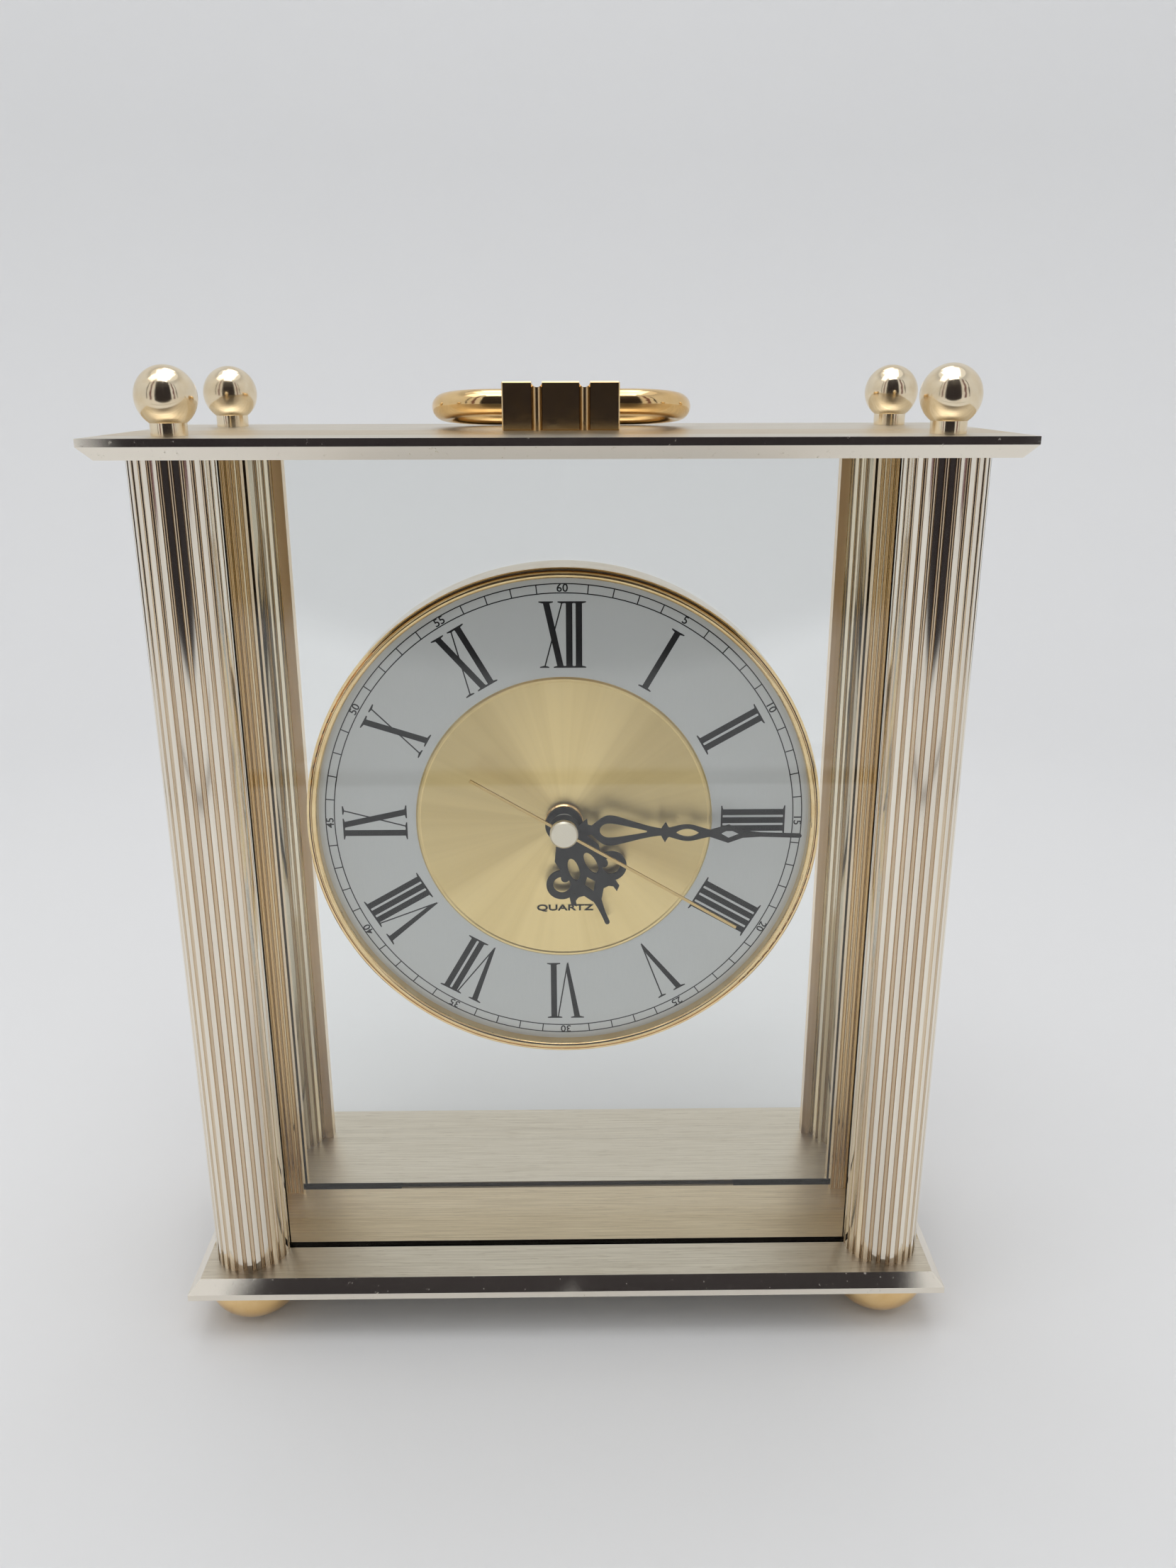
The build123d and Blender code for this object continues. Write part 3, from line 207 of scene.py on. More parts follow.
# --- materials ------------------------------------------------------------------------------------
def brushed_plate():
    """Champagne metal, brushed along X on its flat faces and polished on its edges.

    Between the front and the centre pane it is painted browner, as a painted golden reflection and
    shade of the dial drum above; inside the panes' slots it is painted near black as painted shade.
    """
    m = Finish("brushed_plate", (0.8, 0.72, 0.58), 1.0, 0.3, {"Anisotropic": 0.5})
    normal = m.add("NewGeometry").outputs["True Normal"]
    flat = m.ease(m.size(m.split(normal)[2]), 0.97, 0.99)
    fine = m.stretched((45.0, 2800.0, 2800.0), 5.0, 0.7)
    dashes = m.ease(m.stretched((170.0, 3200.0, 3200.0), 2.0, 0.6), 0.58, 0.74)
    x, y, z = m.split(m.place)
    # painted reflection and shade: the plate between the front and the centre pane is tinted browner,
    # as if mirroring and shaded by the gold drum
    inner = m.shared(m.ease(y, FRONT_PANE_Y - MM, FRONT_PANE_Y + MM), m.ease(y, MM, -MM))
    light = m.mix(inner, (0.83, 0.76, 0.63), (0.78, 0.66, 0.47))
    dark = m.mix(inner, (0.66, 0.59, 0.47), (0.60, 0.49, 0.33))
    brushed = m.mix(m.ease(fine, 0.3, 0.7), dark, light)
    brushed = m.mix(m.maths("MULTIPLY", dashes, 0.45), brushed, (0.40, 0.32, 0.22))
    speck = m.ease(m.stretched((900.0, 900.0, 900.0), 3.0, 0.6), 0.62, 0.76)
    polished = m.mix(m.maths("MULTIPLY", speck, 0.35), (0.88, 0.82, 0.72), (0.42, 0.38, 0.33))
    # painted shade: the floor and walls of the panes' slots are painted near black, where the deep
    # narrow slot would be in shadow
    below = m.ease(z, PLATE_TOP - 0.1 * MM, PLATE_TOP - 0.4 * MM)
    slots = m.shared(m.ease(m.size(y), SLOT_Y, SLOT_Y - MM), m.ease(m.size(x), SLOT_X, SLOT_X - MM))
    surface = m.mix(flat, polished, brushed)
    m.colour(m.mix(m.shared(below, slots), surface, (0.07, 0.055, 0.06)))
    shiny = m.maths("MULTIPLY_ADD", speck, 0.3, 0.05)
    m.rough(m.blend(flat, shiny, m.ease(fine, 0.3, 0.7, 0.42, 0.32)))
    m.bump(m.maths("MULTIPLY", fine, flat), 0.00001, 0.2)
    m.along(m.vector("NORMALIZE", m.vector("CROSS_PRODUCT", normal, (0.0, 1.0, 0.3))))
    return m.material


def column_metal():
    """Polished champagne ridges with narrow flutes between them, drawn along Z; the flutes carry
    painted shade in brown-gold.

    The rear pair is a little more golden, and all four are tarnished at the foot.
    """
    m = Finish("column_metal", (0.86, 0.8, 0.68), 1.0, 0.12)
    x, y, z = m.split(m.place)
    aside = m.maths("SUBTRACT", m.size(x), COLUMN_PLACE.x)
    deep = m.maths("SUBTRACT", m.size(y), COLUMN_PLACE.y)
    radius = m.vector("LENGTH", m.join(aside, deep, 0.0))
    ridge = m.ease(radius, COLUMN_R - 0.3 * MM, COLUMN_R - 0.06 * MM)
    lip = m.ease(radius, COLUMN_R + 0.1 * MM, COLUMN_R + 0.3 * MM)
    drawn = m.stretched((600.0, 600.0, 3.0), 2.0)
    pale = m.mix(m.ease(drawn, 0.35, 0.65), (0.84, 0.77, 0.66), (0.92, 0.86, 0.75))
    # painted shade: the flutes' valleys are painted darker brown-gold than the ridges of the same metal
    shaded_valley = m.mix(m.ease(drawn, 0.35, 0.65), (0.60, 0.47, 0.33), (0.74, 0.61, 0.45))
    side = m.mix(m.ease(drawn, 0.3, 0.7), (0.88, 0.71, 0.49), (0.96, 0.80, 0.58))
    blotches = m.ease(m.stretched((420.0, 420.0, 260.0), 3.0), 0.3, 0.55)
    tarnish = m.shared(m.ease(z, PLATE_TOP + 4.5 * MM, PLATE_TOP), blotches)
    rear = m.ease(y, 0.0, 5.0 * MM)
    pale = m.mix(rear, pale, (0.87, 0.78, 0.60))
    shaded_valley = m.mix(rear, shaded_valley, (0.60, 0.46, 0.28))
    clean = m.mix(lip, m.mix(ridge, shaded_valley, pale), side)
    m.colour(m.mix(m.maths("MULTIPLY", tarnish, 0.6), clean, (0.36, 0.25, 0.16)))
    m.rough(m.blend(lip, m.ease(ridge, 0.0, 1.0, 0.11, 0.09), 0.3))
    return m.material


def stile_metal():
    """The reeded strips beside the centre pane: fine pale ridges, with the valleys painted golden brown
    as painted shade and reflection.
    """
    m = Finish("stile_metal", (0.72, 0.6, 0.4), 1.0, 0.22)
    deep = m.size(m.split(m.place)[1])
    ridge = m.ease(deep, STILE_FACE_Y - 0.16 * MM, STILE_FACE_Y - 0.05 * MM)
    drawn = m.stretched((700.0, 700.0, 3.0), 2.0)
    # painted shade and reflection: the valleys between the ridges are painted golden brown, darker than
    # the ridges
    shaded_valley = m.mix(drawn, (0.64, 0.45, 0.21), (0.84, 0.62, 0.34))
    pale = m.mix(drawn, (0.90, 0.80, 0.58), (0.98, 0.91, 0.74))
    m.colour(m.mix(ridge, shaded_valley, pale))
    m.rough(m.blend(ridge, 0.2, 0.08))
    return m.material


def gold(name, colour, roughness=0.07):
    """Polished gold plate with faint wipe marks."""
    m = Finish(name, colour, 1.0, roughness)
    wipe = m.stretched((180.0, 260.0, 220.0), 4.0, 0.6)
    deeper = tuple(c * (0.93, 0.88, 0.8)[i] for i, c in enumerate(colour))
    m.colour(m.mix(m.ease(wipe, 0.35, 0.7), colour, deeper))
    m.rough(m.ease(wipe, 0.3, 0.75, roughness, roughness + 0.07))
    m.bump(m.stretched((2600.0, 2600.0, 2600.0), 2.0), 0.000004, 0.12)
    return m.material


def dial_silver():
    """Silver-grey chapter plate with an upright satin grain."""
    m = Finish("dial_silver", (0.46, 0.47, 0.46), 0.35, 0.42)
    grain = m.stretched((4200.0, 1.0, 260.0), 2.0)
    m.colour(m.mix(grain, (0.56, 0.575, 0.565), (0.61, 0.62, 0.61)))
    m.rough(m.ease(grain, 0.3, 0.7, 0.36, 0.46))
    m.bump(grain, 0.000006, 0.2)
    return m.material


def dial_gold():
    """The spun disc: brushed in rings, so that its sheen falls in rays; painted sheen rays also tint
    its colour.
    """
    m = Finish("dial_gold", (0.8, 0.68, 0.42), 1.0, 0.36, {"Anisotropic": 0.85})
    x, _, z = m.split(m.vector("SUBTRACT", m.place, tuple(DIAL_CENTRE)))
    around = m.maths("ARCTAN2", x, z)
    across = m.maths("MULTIPLY", m.maths("SINE", around), 3.5)
    up = m.maths("MULTIPLY", m.maths("COSINE", around), 3.5)
    # painted sheen: noise by angle round the centre lightens and darkens the gold colour in rays
    rays = m.noise(m.join(across, up), 1.0, 4.0, 0.6)
    m.colour(m.mix(m.ease(rays, 0.25, 0.75), (0.86, 0.67, 0.32), (0.97, 0.77, 0.39)))
    m.rough(m.ease(rays, 0.25, 0.75, 0.37, 0.34))
    m.along(m.vector("CROSS_PRODUCT", m.join(x, 0.0, z), (0.0, 1.0, 0.0)))
    return m.material


def hand_black():
    m = Finish("hand_black", (0.012, 0.012, 0.013), 0.0, 0.5, {"Specular IOR Level": 0.3})
    fine = m.stretched((2400.0, 2400.0, 2400.0), 3.0)
    m.colour(m.mix(fine, (0.008, 0.008, 0.009), (0.022, 0.021, 0.021)))
    m.rough(m.ease(fine, 0.3, 0.7, 0.36, 0.5))
    m.bump(fine, 0.00001, 0.2)
    return m.material


def hand_gold(name, low, high):
    """Satin gold of the second hand and its button."""
    m = Finish(name, high, 1.0, 0.35)
    fine = m.stretched((600.0, 600.0, 600.0), 2.0)
    m.colour(m.mix(fine, low, high))
    m.rough(m.ease(fine, 0.3, 0.7, 0.32, 0.38))
    return m.material


def clear_glass():
    """Clear thin glass: what is behind shows unbent, with a reflection that grows at low angles."""
    m = Finish("clear_glass", (0.9, 0.95, 0.94), 0.0, 0.0)
    smear = m.stretched((30.0, 30.0, 30.0), 4.0)
    facing = m.add("LayerWeight", {"Blend": 0.5}).outputs["Facing"]
    mirror = m.maths("MULTIPLY_ADD", m.maths("POWER", facing, 5.0), 0.95, 0.035)
    haze = m.ease(smear, 0.3, 0.8, 0.0, 0.04)
    sheen = m.add("BsdfGlossy", {"Color": (1.0, 1.0, 1.0, 1.0), "Roughness": haze})
    m.see_through(mirror, sheen.outputs[0], (0.995, 1.0, 0.998, 1.0))
    m.tree.nodes.remove(m.main)
    return m.material


def steel():
    m = Finish("steel", (0.6, 0.6, 0.61), 1.0, 0.3)
    fine = m.stretched((700.0, 90.0, 700.0), 3.0)
    m.colour(m.mix(fine, (0.57, 0.57, 0.57), (0.63, 0.63, 0.64)))
    m.rough(m.ease(fine, 0.3, 0.7, 0.27, 0.36))
    m.bump(fine, 0.00001, 0.2)
    return m.material


def rubber(name, dark, light):
    m = Finish(name, light, 0.0, 0.7)
    fine = m.stretched((900.0, 900.0, 900.0), 4.0, 0.6)
    m.colour(m.mix(fine, dark, light))
    m.rough(m.ease(fine, 0.3, 0.7, 0.6, 0.8))
    m.bump(fine, 0.00003, 0.3)
    return m.material


def felt():
    m = Finish("felt", (0.02, 0.02, 0.021), 0.0, 0.95, {"Sheen Weight": 0.6, "Sheen Roughness": 0.5})
    fibre = m.stretched((2600.0, 2600.0, 2600.0), 5.0, 0.7)
    m.colour(m.mix(fibre, (0.012, 0.012, 0.013), (0.05, 0.05, 0.052)))
    m.bump(fibre, 0.0001, 0.6)
    return m.material


def plastic(name, dark, light, roughness):
    """Moulded plastic with a fine spark-eroded texture."""
    m = Finish(name, light, 0.0, roughness)
    fine = m.stretched((3200.0, 3200.0, 3200.0), 3.0)
    m.colour(m.mix(m.stretched((120.0, 120.0, 120.0), 2.0), dark, light))
    m.rough(m.ease(fine, 0.3, 0.7, roughness - 0.07, roughness + 0.07))
    m.bump(fine, 0.00002, 0.35)
    return m.material


def copper_wire():
    m = Finish("copper_wire", (0.75, 0.33, 0.15), 1.0, 0.25, {"Coat Weight": 0.5})
    tone = m.stretched((900.0, 200.0, 200.0), 2.0)
    m.colour(m.mix(tone, (0.60, 0.23, 0.09), (0.86, 0.42, 0.20)))
    return m.material


def board_green():
    m = Finish("board_green", (0.03, 0.16, 0.07), 0.0, 0.35, {"Coat Weight": 0.4})
    weave = m.stretched((1500.0, 1500.0, 1500.0), 2.0)
    m.colour(m.mix(weave, (0.02, 0.12, 0.05), (0.04, 0.20, 0.09)))
    m.bump(weave, 0.00001, 0.3)
    return m.material


def cell_jacket():
    """A plain printed jacket: dark body with a copper-coloured band at the positive end."""
    m = Finish("cell_jacket", (0.1, 0.1, 0.11), 0.3, 0.3, {"Coat Weight": 0.5})
    x = m.split(m.place)[0]
    band = m.ease(x, CELL_BAND_X, CELL_BAND_X + 0.2 * MM)
    bare = m.ease(x, CELL_BARE_X, CELL_BARE_X + 0.2 * MM)
    grain = m.maths("MULTIPLY", m.stretched((20.0, 600.0, 600.0), 2.0), 0.3)
    jacket = m.mix(band, (0.045, 0.047, 0.052), (0.62, 0.33, 0.14))
    m.colour(m.mix(bare, m.mix(grain, jacket, (0.2, 0.2, 0.2)), (0.66, 0.66, 0.67)))
    m.set(m.main, "Metallic", m.blend(bare, 0.4, 1.0))
    return m.material


def dial_ink():
    m = Finish("dial_ink", (0.008, 0.008, 0.009), 0.0, 0.6, {"Specular IOR Level": 0.25})
    fine = m.stretched((3000.0, 3000.0, 3000.0), 2.0)
    m.colour(m.mix(fine, (0.006, 0.006, 0.007), (0.02, 0.02, 0.021)))
    return m.material


# Record slot or node name to material
FINISHES = {
    "brushed_plate": brushed_plate(),
    "column_metal": column_metal(),
    "stile_metal": stile_metal(),
    "polished_gold": gold("polished_gold", (0.88, 0.63, 0.32)),
    "pale_gold": gold("pale_gold", (0.90, 0.78, 0.58), 0.1),
    "block_gold": gold("block_gold", (0.80, 0.60, 0.34), 0.08),
    "bezel_gold": gold("bezel_gold", (0.92, 0.71, 0.39), 0.05),
    "dial_silver": dial_silver(),
    "dial_gold": dial_gold(),
    "hand_black": hand_black(),
    "hand_gold": hand_gold("hand_gold", (0.68, 0.48, 0.20), (0.78, 0.58, 0.28)),
    "cap_gold": hand_gold("cap_gold", (0.88, 0.81, 0.66), (0.93, 0.87, 0.74)),
    "clear_glass": clear_glass(),
    "steel": steel(),
    "rubber_black": rubber("rubber_black", (0.012, 0.012, 0.012), (0.035, 0.034, 0.033)),
    "packing_brown": rubber("packing_brown", (0.30, 0.22, 0.14), (0.46, 0.36, 0.25)),
    "felt": felt(),
    "plastic_black": plastic("plastic_black", (0.014, 0.014, 0.016), (0.022, 0.022, 0.024), 0.48),
    "plastic_white": plastic("plastic_white", (0.68, 0.66, 0.60), (0.76, 0.74, 0.68), 0.38),
    "copper_wire": copper_wire(),
    "board_green": board_green(),
    "cell_jacket": cell_jacket(),
    "dial_ink": dial_ink(),
}
SPECIAL = {
    "stile_left": "stile_metal", "stile_right": "stile_metal", "handle_block": "block_gold",
    "bezel": "bezel_gold", "dial_drum": "pale_gold", "second_cap": "cap_gold",
}
SPECIAL.update({node: "pale_gold" for node in NODES if node.startswith("finial_")})


def paint_nodes():
    """Gives every CAD node its material, by the record's slot or by name."""
    slots = {part["node"]: part["material_slot"] for part in frame["record"]["subparts"]}
    for node, piece in NODES.items():
        finish = FINISHES[SPECIAL.get(node, slots[node])]
        for slot in piece.material_slots:
            slot.material = finish


# --- dial print ---------------------------------------------------------------------------------------
def in_scene(name, data):
    thing = bpy.data.objects.new(name, data)
    bpy.context.scene.collection.objects.link(thing)
    return thing


def new_piece(name, mesh, finish):
    """A piece on the clock's own body."""
    piece = in_scene(name, mesh)
    mesh.materials.append(FINISHES[finish])
    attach(piece, "clock_body")


def prism(bm, outline, back, thickness):
    """A thin closed piece facing the front: the outline is (across, height) in metres."""
    rear = [bm.verts.new((x, back, z)) for x, z in outline]
    front = [bm.verts.new((x, back - thickness, z)) for x, z in outline]
    count = len(outline)
    bm.faces.new(front)
    bm.faces.new(list(reversed(rear)))
    for i in range(count):
        k = (i + 1) % count
        bm.faces.new((front[i], rear[i], rear[k], front[k]))


def finished(bm, name):
    bmesh.ops.recalc_face_normals(bm, faces=bm.faces)
    mesh = bpy.data.meshes.new(name)
    bm.to_mesh(mesh)
    bm.free()
    return mesh


def turned_about_dial(points, clockwise):
    """Millimetres about the dial's centre, turned clockwise, to metres on the clock."""
    c, s = math.cos(math.radians(clockwise)), math.sin(math.radians(clockwise))
    return [((x * c + z * s) * MM, DIAL_CENTRE.z + (z * c - x * s) * MM) for x, z in points]


def slanted(x_top, x_bottom, width_top, width_bottom):
    """A stroke from the outer to the inner edge of the numerals."""
    return [(x_bottom - width_bottom / 2, NUMERAL_IN), (x_bottom + width_bottom / 2, NUMERAL_IN),
            (x_top + width_top / 2, NUMERAL_OUT), (x_top - width_top / 2, NUMERAL_OUT)]


def serif(x, half_stroke, radius, inward):
    """A hairline across the end of a stroke, with its ends drawn out and a small fillet."""
    reach = half_stroke + SERIF_OVER
    edge = radius - inward * SERIF_T
    root = edge - inward * 0.22
    return [(x - reach, radius), (x + reach, radius), (x + reach, edge), (x + half_stroke, root),
            (x - half_stroke, root), (x - reach, edge)]


def strokes_of(letter, x):
    """The strokes and then the serifs of one letter."""
    if letter == "I":
        ends = [serif(x, THICK / 2, NUMERAL_OUT, 1), serif(x, THICK / 2, NUMERAL_IN, -1)]
        return [slanted(x, x, THICK, THICK)], ends
    if letter == "V":
        point = [(x - 0.05, NUMERAL_IN - 0.35), (x + 0.3, NUMERAL_IN + 2.6),
                 (x - V_LEFT + THICK / 2, NUMERAL_OUT), (x - V_LEFT - THICK / 2, NUMERAL_OUT)]
        hair = slanted(x + V_RIGHT, x + 0.05, HAIR, HAIR)
        ends = [serif(x - V_LEFT, THICK / 2, NUMERAL_OUT, 1),
                serif(x + V_RIGHT, HAIR / 2, NUMERAL_OUT, 1)]
        return [point, hair], ends
    strokes = [slanted(x - X_THICK, x + X_THICK, THICK, THICK),
               slanted(x + X_HAIR, x - X_HAIR, HAIR, HAIR)]
    serifs = [serif(x - X_THICK, THICK / 2, NUMERAL_OUT, 1),
              serif(x + X_HAIR, HAIR / 2, NUMERAL_OUT, 1),
              serif(x + X_THICK, THICK / 2, NUMERAL_IN, -1),
              serif(x - X_HAIR, HAIR / 2, NUMERAL_IN, -1)]
    return strokes, serifs


def hour_numerals():
    """Twelve Roman numerals, printed with their feet towards the centre.

    Strokes that cross have slightly different thicknesses, so that no two faces lie together.
    """
    for hour, letters in NUMERALS.items():
        bm = bmesh.new()
        for index, (letter, x) in enumerate(letters):
            strokes, serifs = strokes_of(letter, x)
            for layer, outlines in enumerate((strokes, serifs)):
                for number, outline in enumerate(outlines):
                    thickness = INK * (1 + 0.12 * layer + 0.03 * index + 0.05 * number)
                    points = turned_about_dial(outline, hour * 30.0)
                    prism(bm, points, DIAL_CENTRE.y, thickness * MM)
        name = f"numeral_{hour:02d}"
        new_piece(name, finished(bm, name), "dial_ink")


def ring_band(bm, inner, outer):
    """A flat printed ring with a rectangular section."""
    loops = []
    for radius, y in ((inner, 0.0), (outer, 0.0), (outer, -INK), (inner, -INK)):
        loop = []
        for k in range(RING_STEPS):
            a = 2 * math.pi * k / RING_STEPS
            place = (radius * math.cos(a) * MM, DIAL_CENTRE.y + y * MM,
                     DIAL_CENTRE.z + radius * math.sin(a) * MM)
            loop.append(bm.verts.new(place))
        loops.append(loop)
    for first, second in zip(loops, loops[1:] + loops[:1]):
        for k in range(RING_STEPS):
            n = (k + 1) % RING_STEPS
            bm.faces.new((first[k], first[n], second[n], second[k]))


def minute_track():
    """Two circles with a tick for each minute, left out where the small figures stand."""
    bm = bmesh.new()
    half = TRACK_LINE / 2
    for radius in (TRACK_IN, TRACK_OUT):
        ring_band(bm, radius - half, radius + half)
    for minute in range(60):
        if minute % 5:
            tick = [(-half, TRACK_IN + half), (half, TRACK_IN + half),
                    (half, TRACK_OUT - half), (-half, TRACK_OUT - half)]
            prism(bm, turned_about_dial(tick, minute * 6.0), DIAL_CENTRE.y, INK * MM)
    new_piece("minute_track", finished(bm, "minute_track"), "dial_ink")


def text_mesh(name, words, size, stretch, place):
    """Letters as a closed mesh: place turns them from their own plane to where they are printed."""
    curve = bpy.data.curves.new(name, "FONT")
    curve.body = words
    curve.size = size
    curve.align_x = "CENTER"
    curve.align_y = "CENTER"
    curve.extrude = INK * MM / 2
    curve.resolution_u = 4
    curve.offset = BOLDER * MM
    holder = in_scene(name, curve)
    bpy.context.view_layer.update()
    mesh = bpy.data.meshes.new_from_object(holder)
    bpy.data.objects.remove(holder)
    mesh.transform(place @ Matrix.Diagonal((stretch, 1.0, 1.0, 1.0)))
    return mesh


STAND = Matrix.Rotation(math.radians(90.0), 4, "X")     # from lying face up to facing the front


def minute_figures():
    """Small figures 5 to 60 between the circles, with their tops outwards."""
    centre = Matrix.Translation(DIAL_CENTRE - Vector((0.0, INK * MM / 2, 0.0)))
    out = Matrix.Translation((0.0, 0.0, FIGURE_MIDDLE * MM))
    for minute in range(5, 65, 5):
        turn = Matrix.Rotation(math.radians(minute * 6.0), 4, "Y")
        name = f"minute_figure_{minute:02d}"
        place = centre @ turn @ out @ STAND
        mesh = text_mesh(name, str(minute), FIGURE_SIZE * MM, 1.05, place)
        new_piece(name, mesh, "dial_ink")


def movement_word():
    """The kind of movement, in small wide capitals on the lower half of the disc."""
    spot = Vector((0.0, DISC_FRONT_Y - INK * MM / 2, DIAL_CENTRE.z - WORD_DROP * MM))
    place = Matrix.Translation(spot) @ STAND
    mesh = text_mesh("movement_word", "QUARTZ", WORD_SIZE * MM, 1.6, place)
    new_piece("movement_word", mesh, "dial_ink")


# --- marks moulded on the back of the movement ------------------------------------------------------
def back_marks():
    """Plus and minus over the ends of the cell, and an arrow round the setting knob."""
    low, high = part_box("movement_cover")
    knob = middle("setting_knob")
    rear = high.y + MARK_T * MM
    sign_z = low.z + SIGN_UP * MM
    bar = ((-MARK_ARM, -MARK_W), (MARK_ARM, -MARK_W), (MARK_ARM, MARK_W), (-MARK_ARM, MARK_W))
    bm = bmesh.new()

    def sign(x, arms):
        for layer, arm in enumerate(arms):
            c, s = math.cos(math.radians(arm)) * MM, math.sin(math.radians(arm)) * MM
            outline = [(x * MM + u * c - w * s, sign_z + u * s + w * c) for u, w in bar]
            prism(bm, outline, rear, MARK_T * MM * (1 - 0.05 * layer))

    def round_knob(points, thickness):
        """The points are (radius in millimetres, angle in radians)."""
        outline = [(r * math.cos(a) * MM + knob.x, r * math.sin(a) * MM + knob.z) for r, a in points]
        prism(bm, outline, rear, thickness * MM)

    sign(CELL_END_X, (0.0, 90.0))
    sign(-CELL_END_X, (0.0,))
    angles = [math.radians(ARROW_FROM + ARROW_SWEEP * k / ARROW_STEPS)
              for k in range(ARROW_STEPS + 1)]
    outer = [(ARROW_R + MARK_W, a) for a in angles]
    inner = [(ARROW_R - MARK_W, a) for a in reversed(angles)]
    round_knob(outer + inner, MARK_T)
    end = angles[0]
    head = [(ARROW_R - ARROW_HEAD, end), (ARROW_R, end - ARROW_TIP), (ARROW_R + ARROW_HEAD, end)]
    round_knob(head, 0.95 * MARK_T)
    new_piece("back_marks", finished(bm, "back_marks"), "plastic_white")


# --- studio ---------------------------------------------------------------------------------------
FLOOR_R, COVE_R, WALL_H = 0.55, 0.4, 1.6
COVE_STEPS, SWEEP_STEPS = 12, 96
RAGGED = 0.06                    # how far a dark card's sides wander
EYE = Vector((0.00225, -0.27017, 0.21453))
PITCH, YAW, ROLL = math.radians(18.34), 0.01198, -0.00232
LENS, SENSOR = 28.3, 36.0


def studio_sweep():
    """A round floor that curves up into a wall on all sides, so every view has a plain ground."""
    profile = [(0.0, 0.0), (FLOOR_R, 0.0)]
    for step in range(1, COVE_STEPS + 1):
        a = math.radians(90.0 * step / COVE_STEPS)
        profile.append((FLOOR_R + COVE_R * math.sin(a), COVE_R * (1 - math.cos(a))))
    profile.append((FLOOR_R + COVE_R, WALL_H))
    bm = bmesh.new()
    centre = bm.verts.new((0.0, 0.0, 0.0))
    rays = [2 * math.pi * k / SWEEP_STEPS for k in range(SWEEP_STEPS)]
    loops = [[bm.verts.new((radius * math.cos(a), radius * math.sin(a), height)) for a in rays]
             for radius, height in profile[1:]]
    for k in range(SWEEP_STEPS):
        n = (k + 1) % SWEEP_STEPS
        bm.faces.new((centre, loops[0][k], loops[0][n]))
        for low, high in zip(loops, loops[1:]):
            bm.faces.new((low[k], high[k], high[n], low[n]))
    for face in bm.faces:
        face.smooth = True
    mesh = bpy.data.meshes.new("studio_sweep")
    bm.to_mesh(mesh)
    bm.free()
    m = Finish("studio_paper", (0.72, 0.723, 0.727), 0.0, 0.9, {"Specular IOR Level": 0.1})
    m.colour(m.mix(m.noise(m.place, 3.0, 3.0), (0.712, 0.715, 0.72), (0.728, 0.731, 0.735)))
    mesh.materials.append(m.material)
    in_scene("studio_sweep", mesh)


def dark_card(name, x_in, x_out, y, z_low, z_high, colour, edge, bow):
    """A dark flag in front of the clock that only reflections see, the same on both sides.

    It fades out over the width of its edge, and its lower edge rises by bow times x squared.
    """
    bm = bmesh.new()
    corners = ((-x_out, z_low), (x_out, z_low), (x_out, z_high), (-x_out, z_high))
    bm.faces.new([bm.verts.new((x, y, z)) for x, z in corners])
    mesh = bpy.data.meshes.new(name)
    bm.to_mesh(mesh)
    bm.free()
    m = Finish(name, (0.0, 0.0, 0.0), 0.0, 1.0, {"Emission Strength": 1.0})
    x, _, z = m.split(m.place)
    ragged = m.maths("MULTIPLY_ADD", m.noise(m.place, 7.0, 2.0), 2 * RAGGED, -RAGGED)
    reach = m.maths("ADD", m.size(x), ragged)
    side = m.shared(m.ease(reach, x_out, x_out - edge), m.ease(reach, x_in - edge, x_in))
    above = m.ease(z, z_high, z_high - edge)
    rise = m.maths("SUBTRACT", z, m.maths("MULTIPLY", m.maths("MULTIPLY", x, x), bow))
    below = m.ease(rise, z_low, z_low + min(edge, 0.02))
    shade = m.shared(side, m.shared(above, below))
    patchy = m.mix(m.noise(m.place, 9.0, 3.0), tuple(c * 0.6 for c in colour), colour)
    m.set(m.main, "Emission Color", patchy)
    m.see_through(shade, m.main.outputs[0])
    mesh.materials.append(m.material)
    card = in_scene(name, mesh)
    card.visible_camera = False
    card.visible_diffuse = False
    card.visible_shadow = False
    card.visible_transmission = False


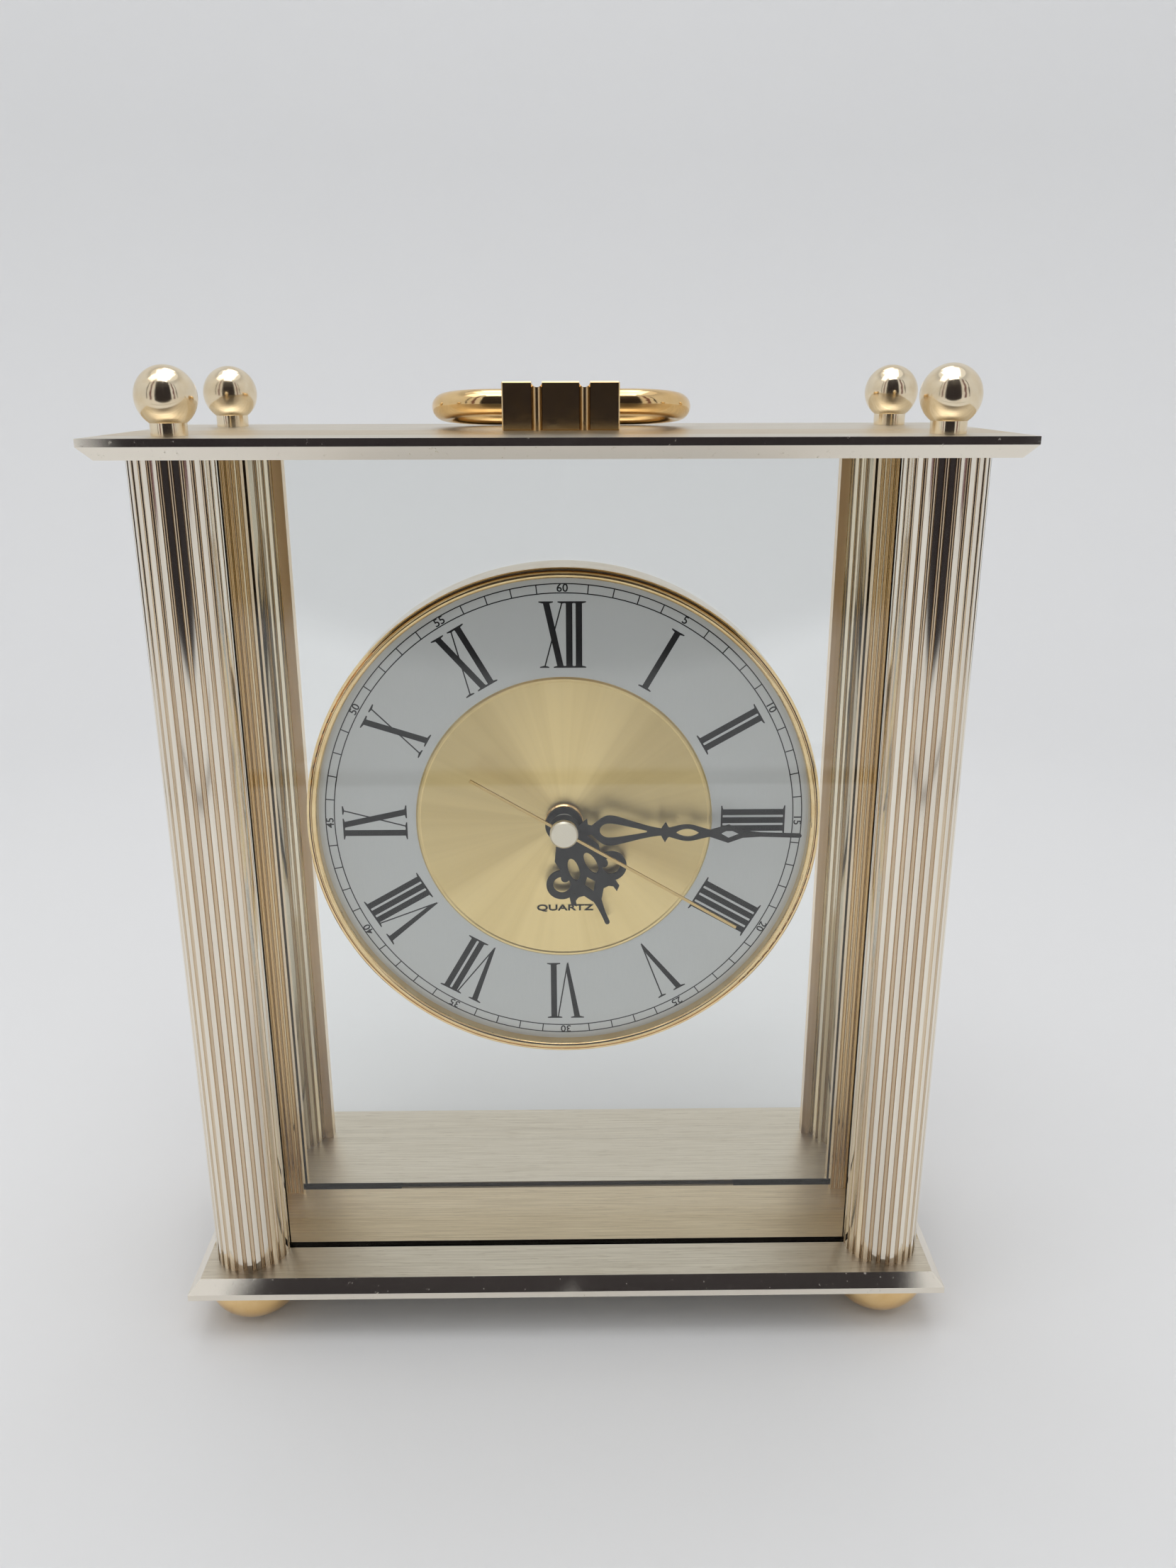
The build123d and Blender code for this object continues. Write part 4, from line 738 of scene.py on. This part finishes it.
def soft_light(name, place, size, power):
    """A large square lamp aimed at the middle of the clock."""
    lamp = bpy.data.lights.new(name, "AREA")
    lamp.shape = "SQUARE"
    lamp.size = size
    lamp.energy = power
    holder = in_scene(name, lamp)
    holder.location = place
    aim = Vector((0.0, 0.0, 0.1)) - Vector(place)
    holder.rotation_euler = aim.to_track_quat("-Z", "Y").to_euler()
    holder.visible_camera = False


def studio():
    """A pale sweep under soft lamps, with dark cards for what the metal mirrors."""
    studio_sweep()
    dark_card("floor_end_card", 0.0, 0.6, -0.42, -0.004, 0.012, (0.2, 0.17, 0.15), 0.006, 0.0)
    dark_card("viewer_card", 0.0, 0.235, -0.415, 0.055, 0.85, (0.026, 0.021, 0.024), 0.025, 1.2)
    dark_card("red_drape_card", 0.34, 0.42, -0.41, 0.13, 0.85, (0.17, 0.07, 0.075), 0.03, 0.0)
    dark_card("far_drape_card", 0.54, 0.60, -0.40, 0.16, 0.85, (0.06, 0.045, 0.045), 0.02, 0.0)
    soft_light("top_light", (0.0, 0.0, 1.35), 0.9, 3.8)
    soft_light("left_light", (-0.6, -0.3, 1.3), 0.5, 1.0)
    soft_light("front_light", (0.0, -0.6, 1.2), 0.6, 2.1)
    soft_light("rear_light", (0.0, 0.45, 1.3), 0.5, 1.0)
    world = bpy.data.worlds.new("soft_tent")
    world.use_nodes = True
    background = world.node_tree.nodes["Background"]
    background.inputs["Color"].default_value = (0.985, 0.99, 1.0, 1.0)
    background.inputs["Strength"].default_value = 0.84
    bpy.context.scene.world = world
    bpy.context.scene.view_settings.view_transform = "Standard"


def camera():
    lens = bpy.data.cameras.new("camera")
    lens.lens = LENS
    lens.sensor_width = SENSOR
    lens.clip_start = 0.01
    holder = in_scene("camera", lens)
    turn = Euler((math.pi / 2 - PITCH, 0.0, -YAW)).to_matrix() @ Matrix.Rotation(ROLL, 3, "Z")
    holder.matrix_world = Matrix.Translation(EYE) @ turn.to_4x4()
    bpy.context.scene.camera = holder


paint_nodes()
hour_numerals()
minute_track()
minute_figures()
movement_word()
back_marks()
studio()
camera()
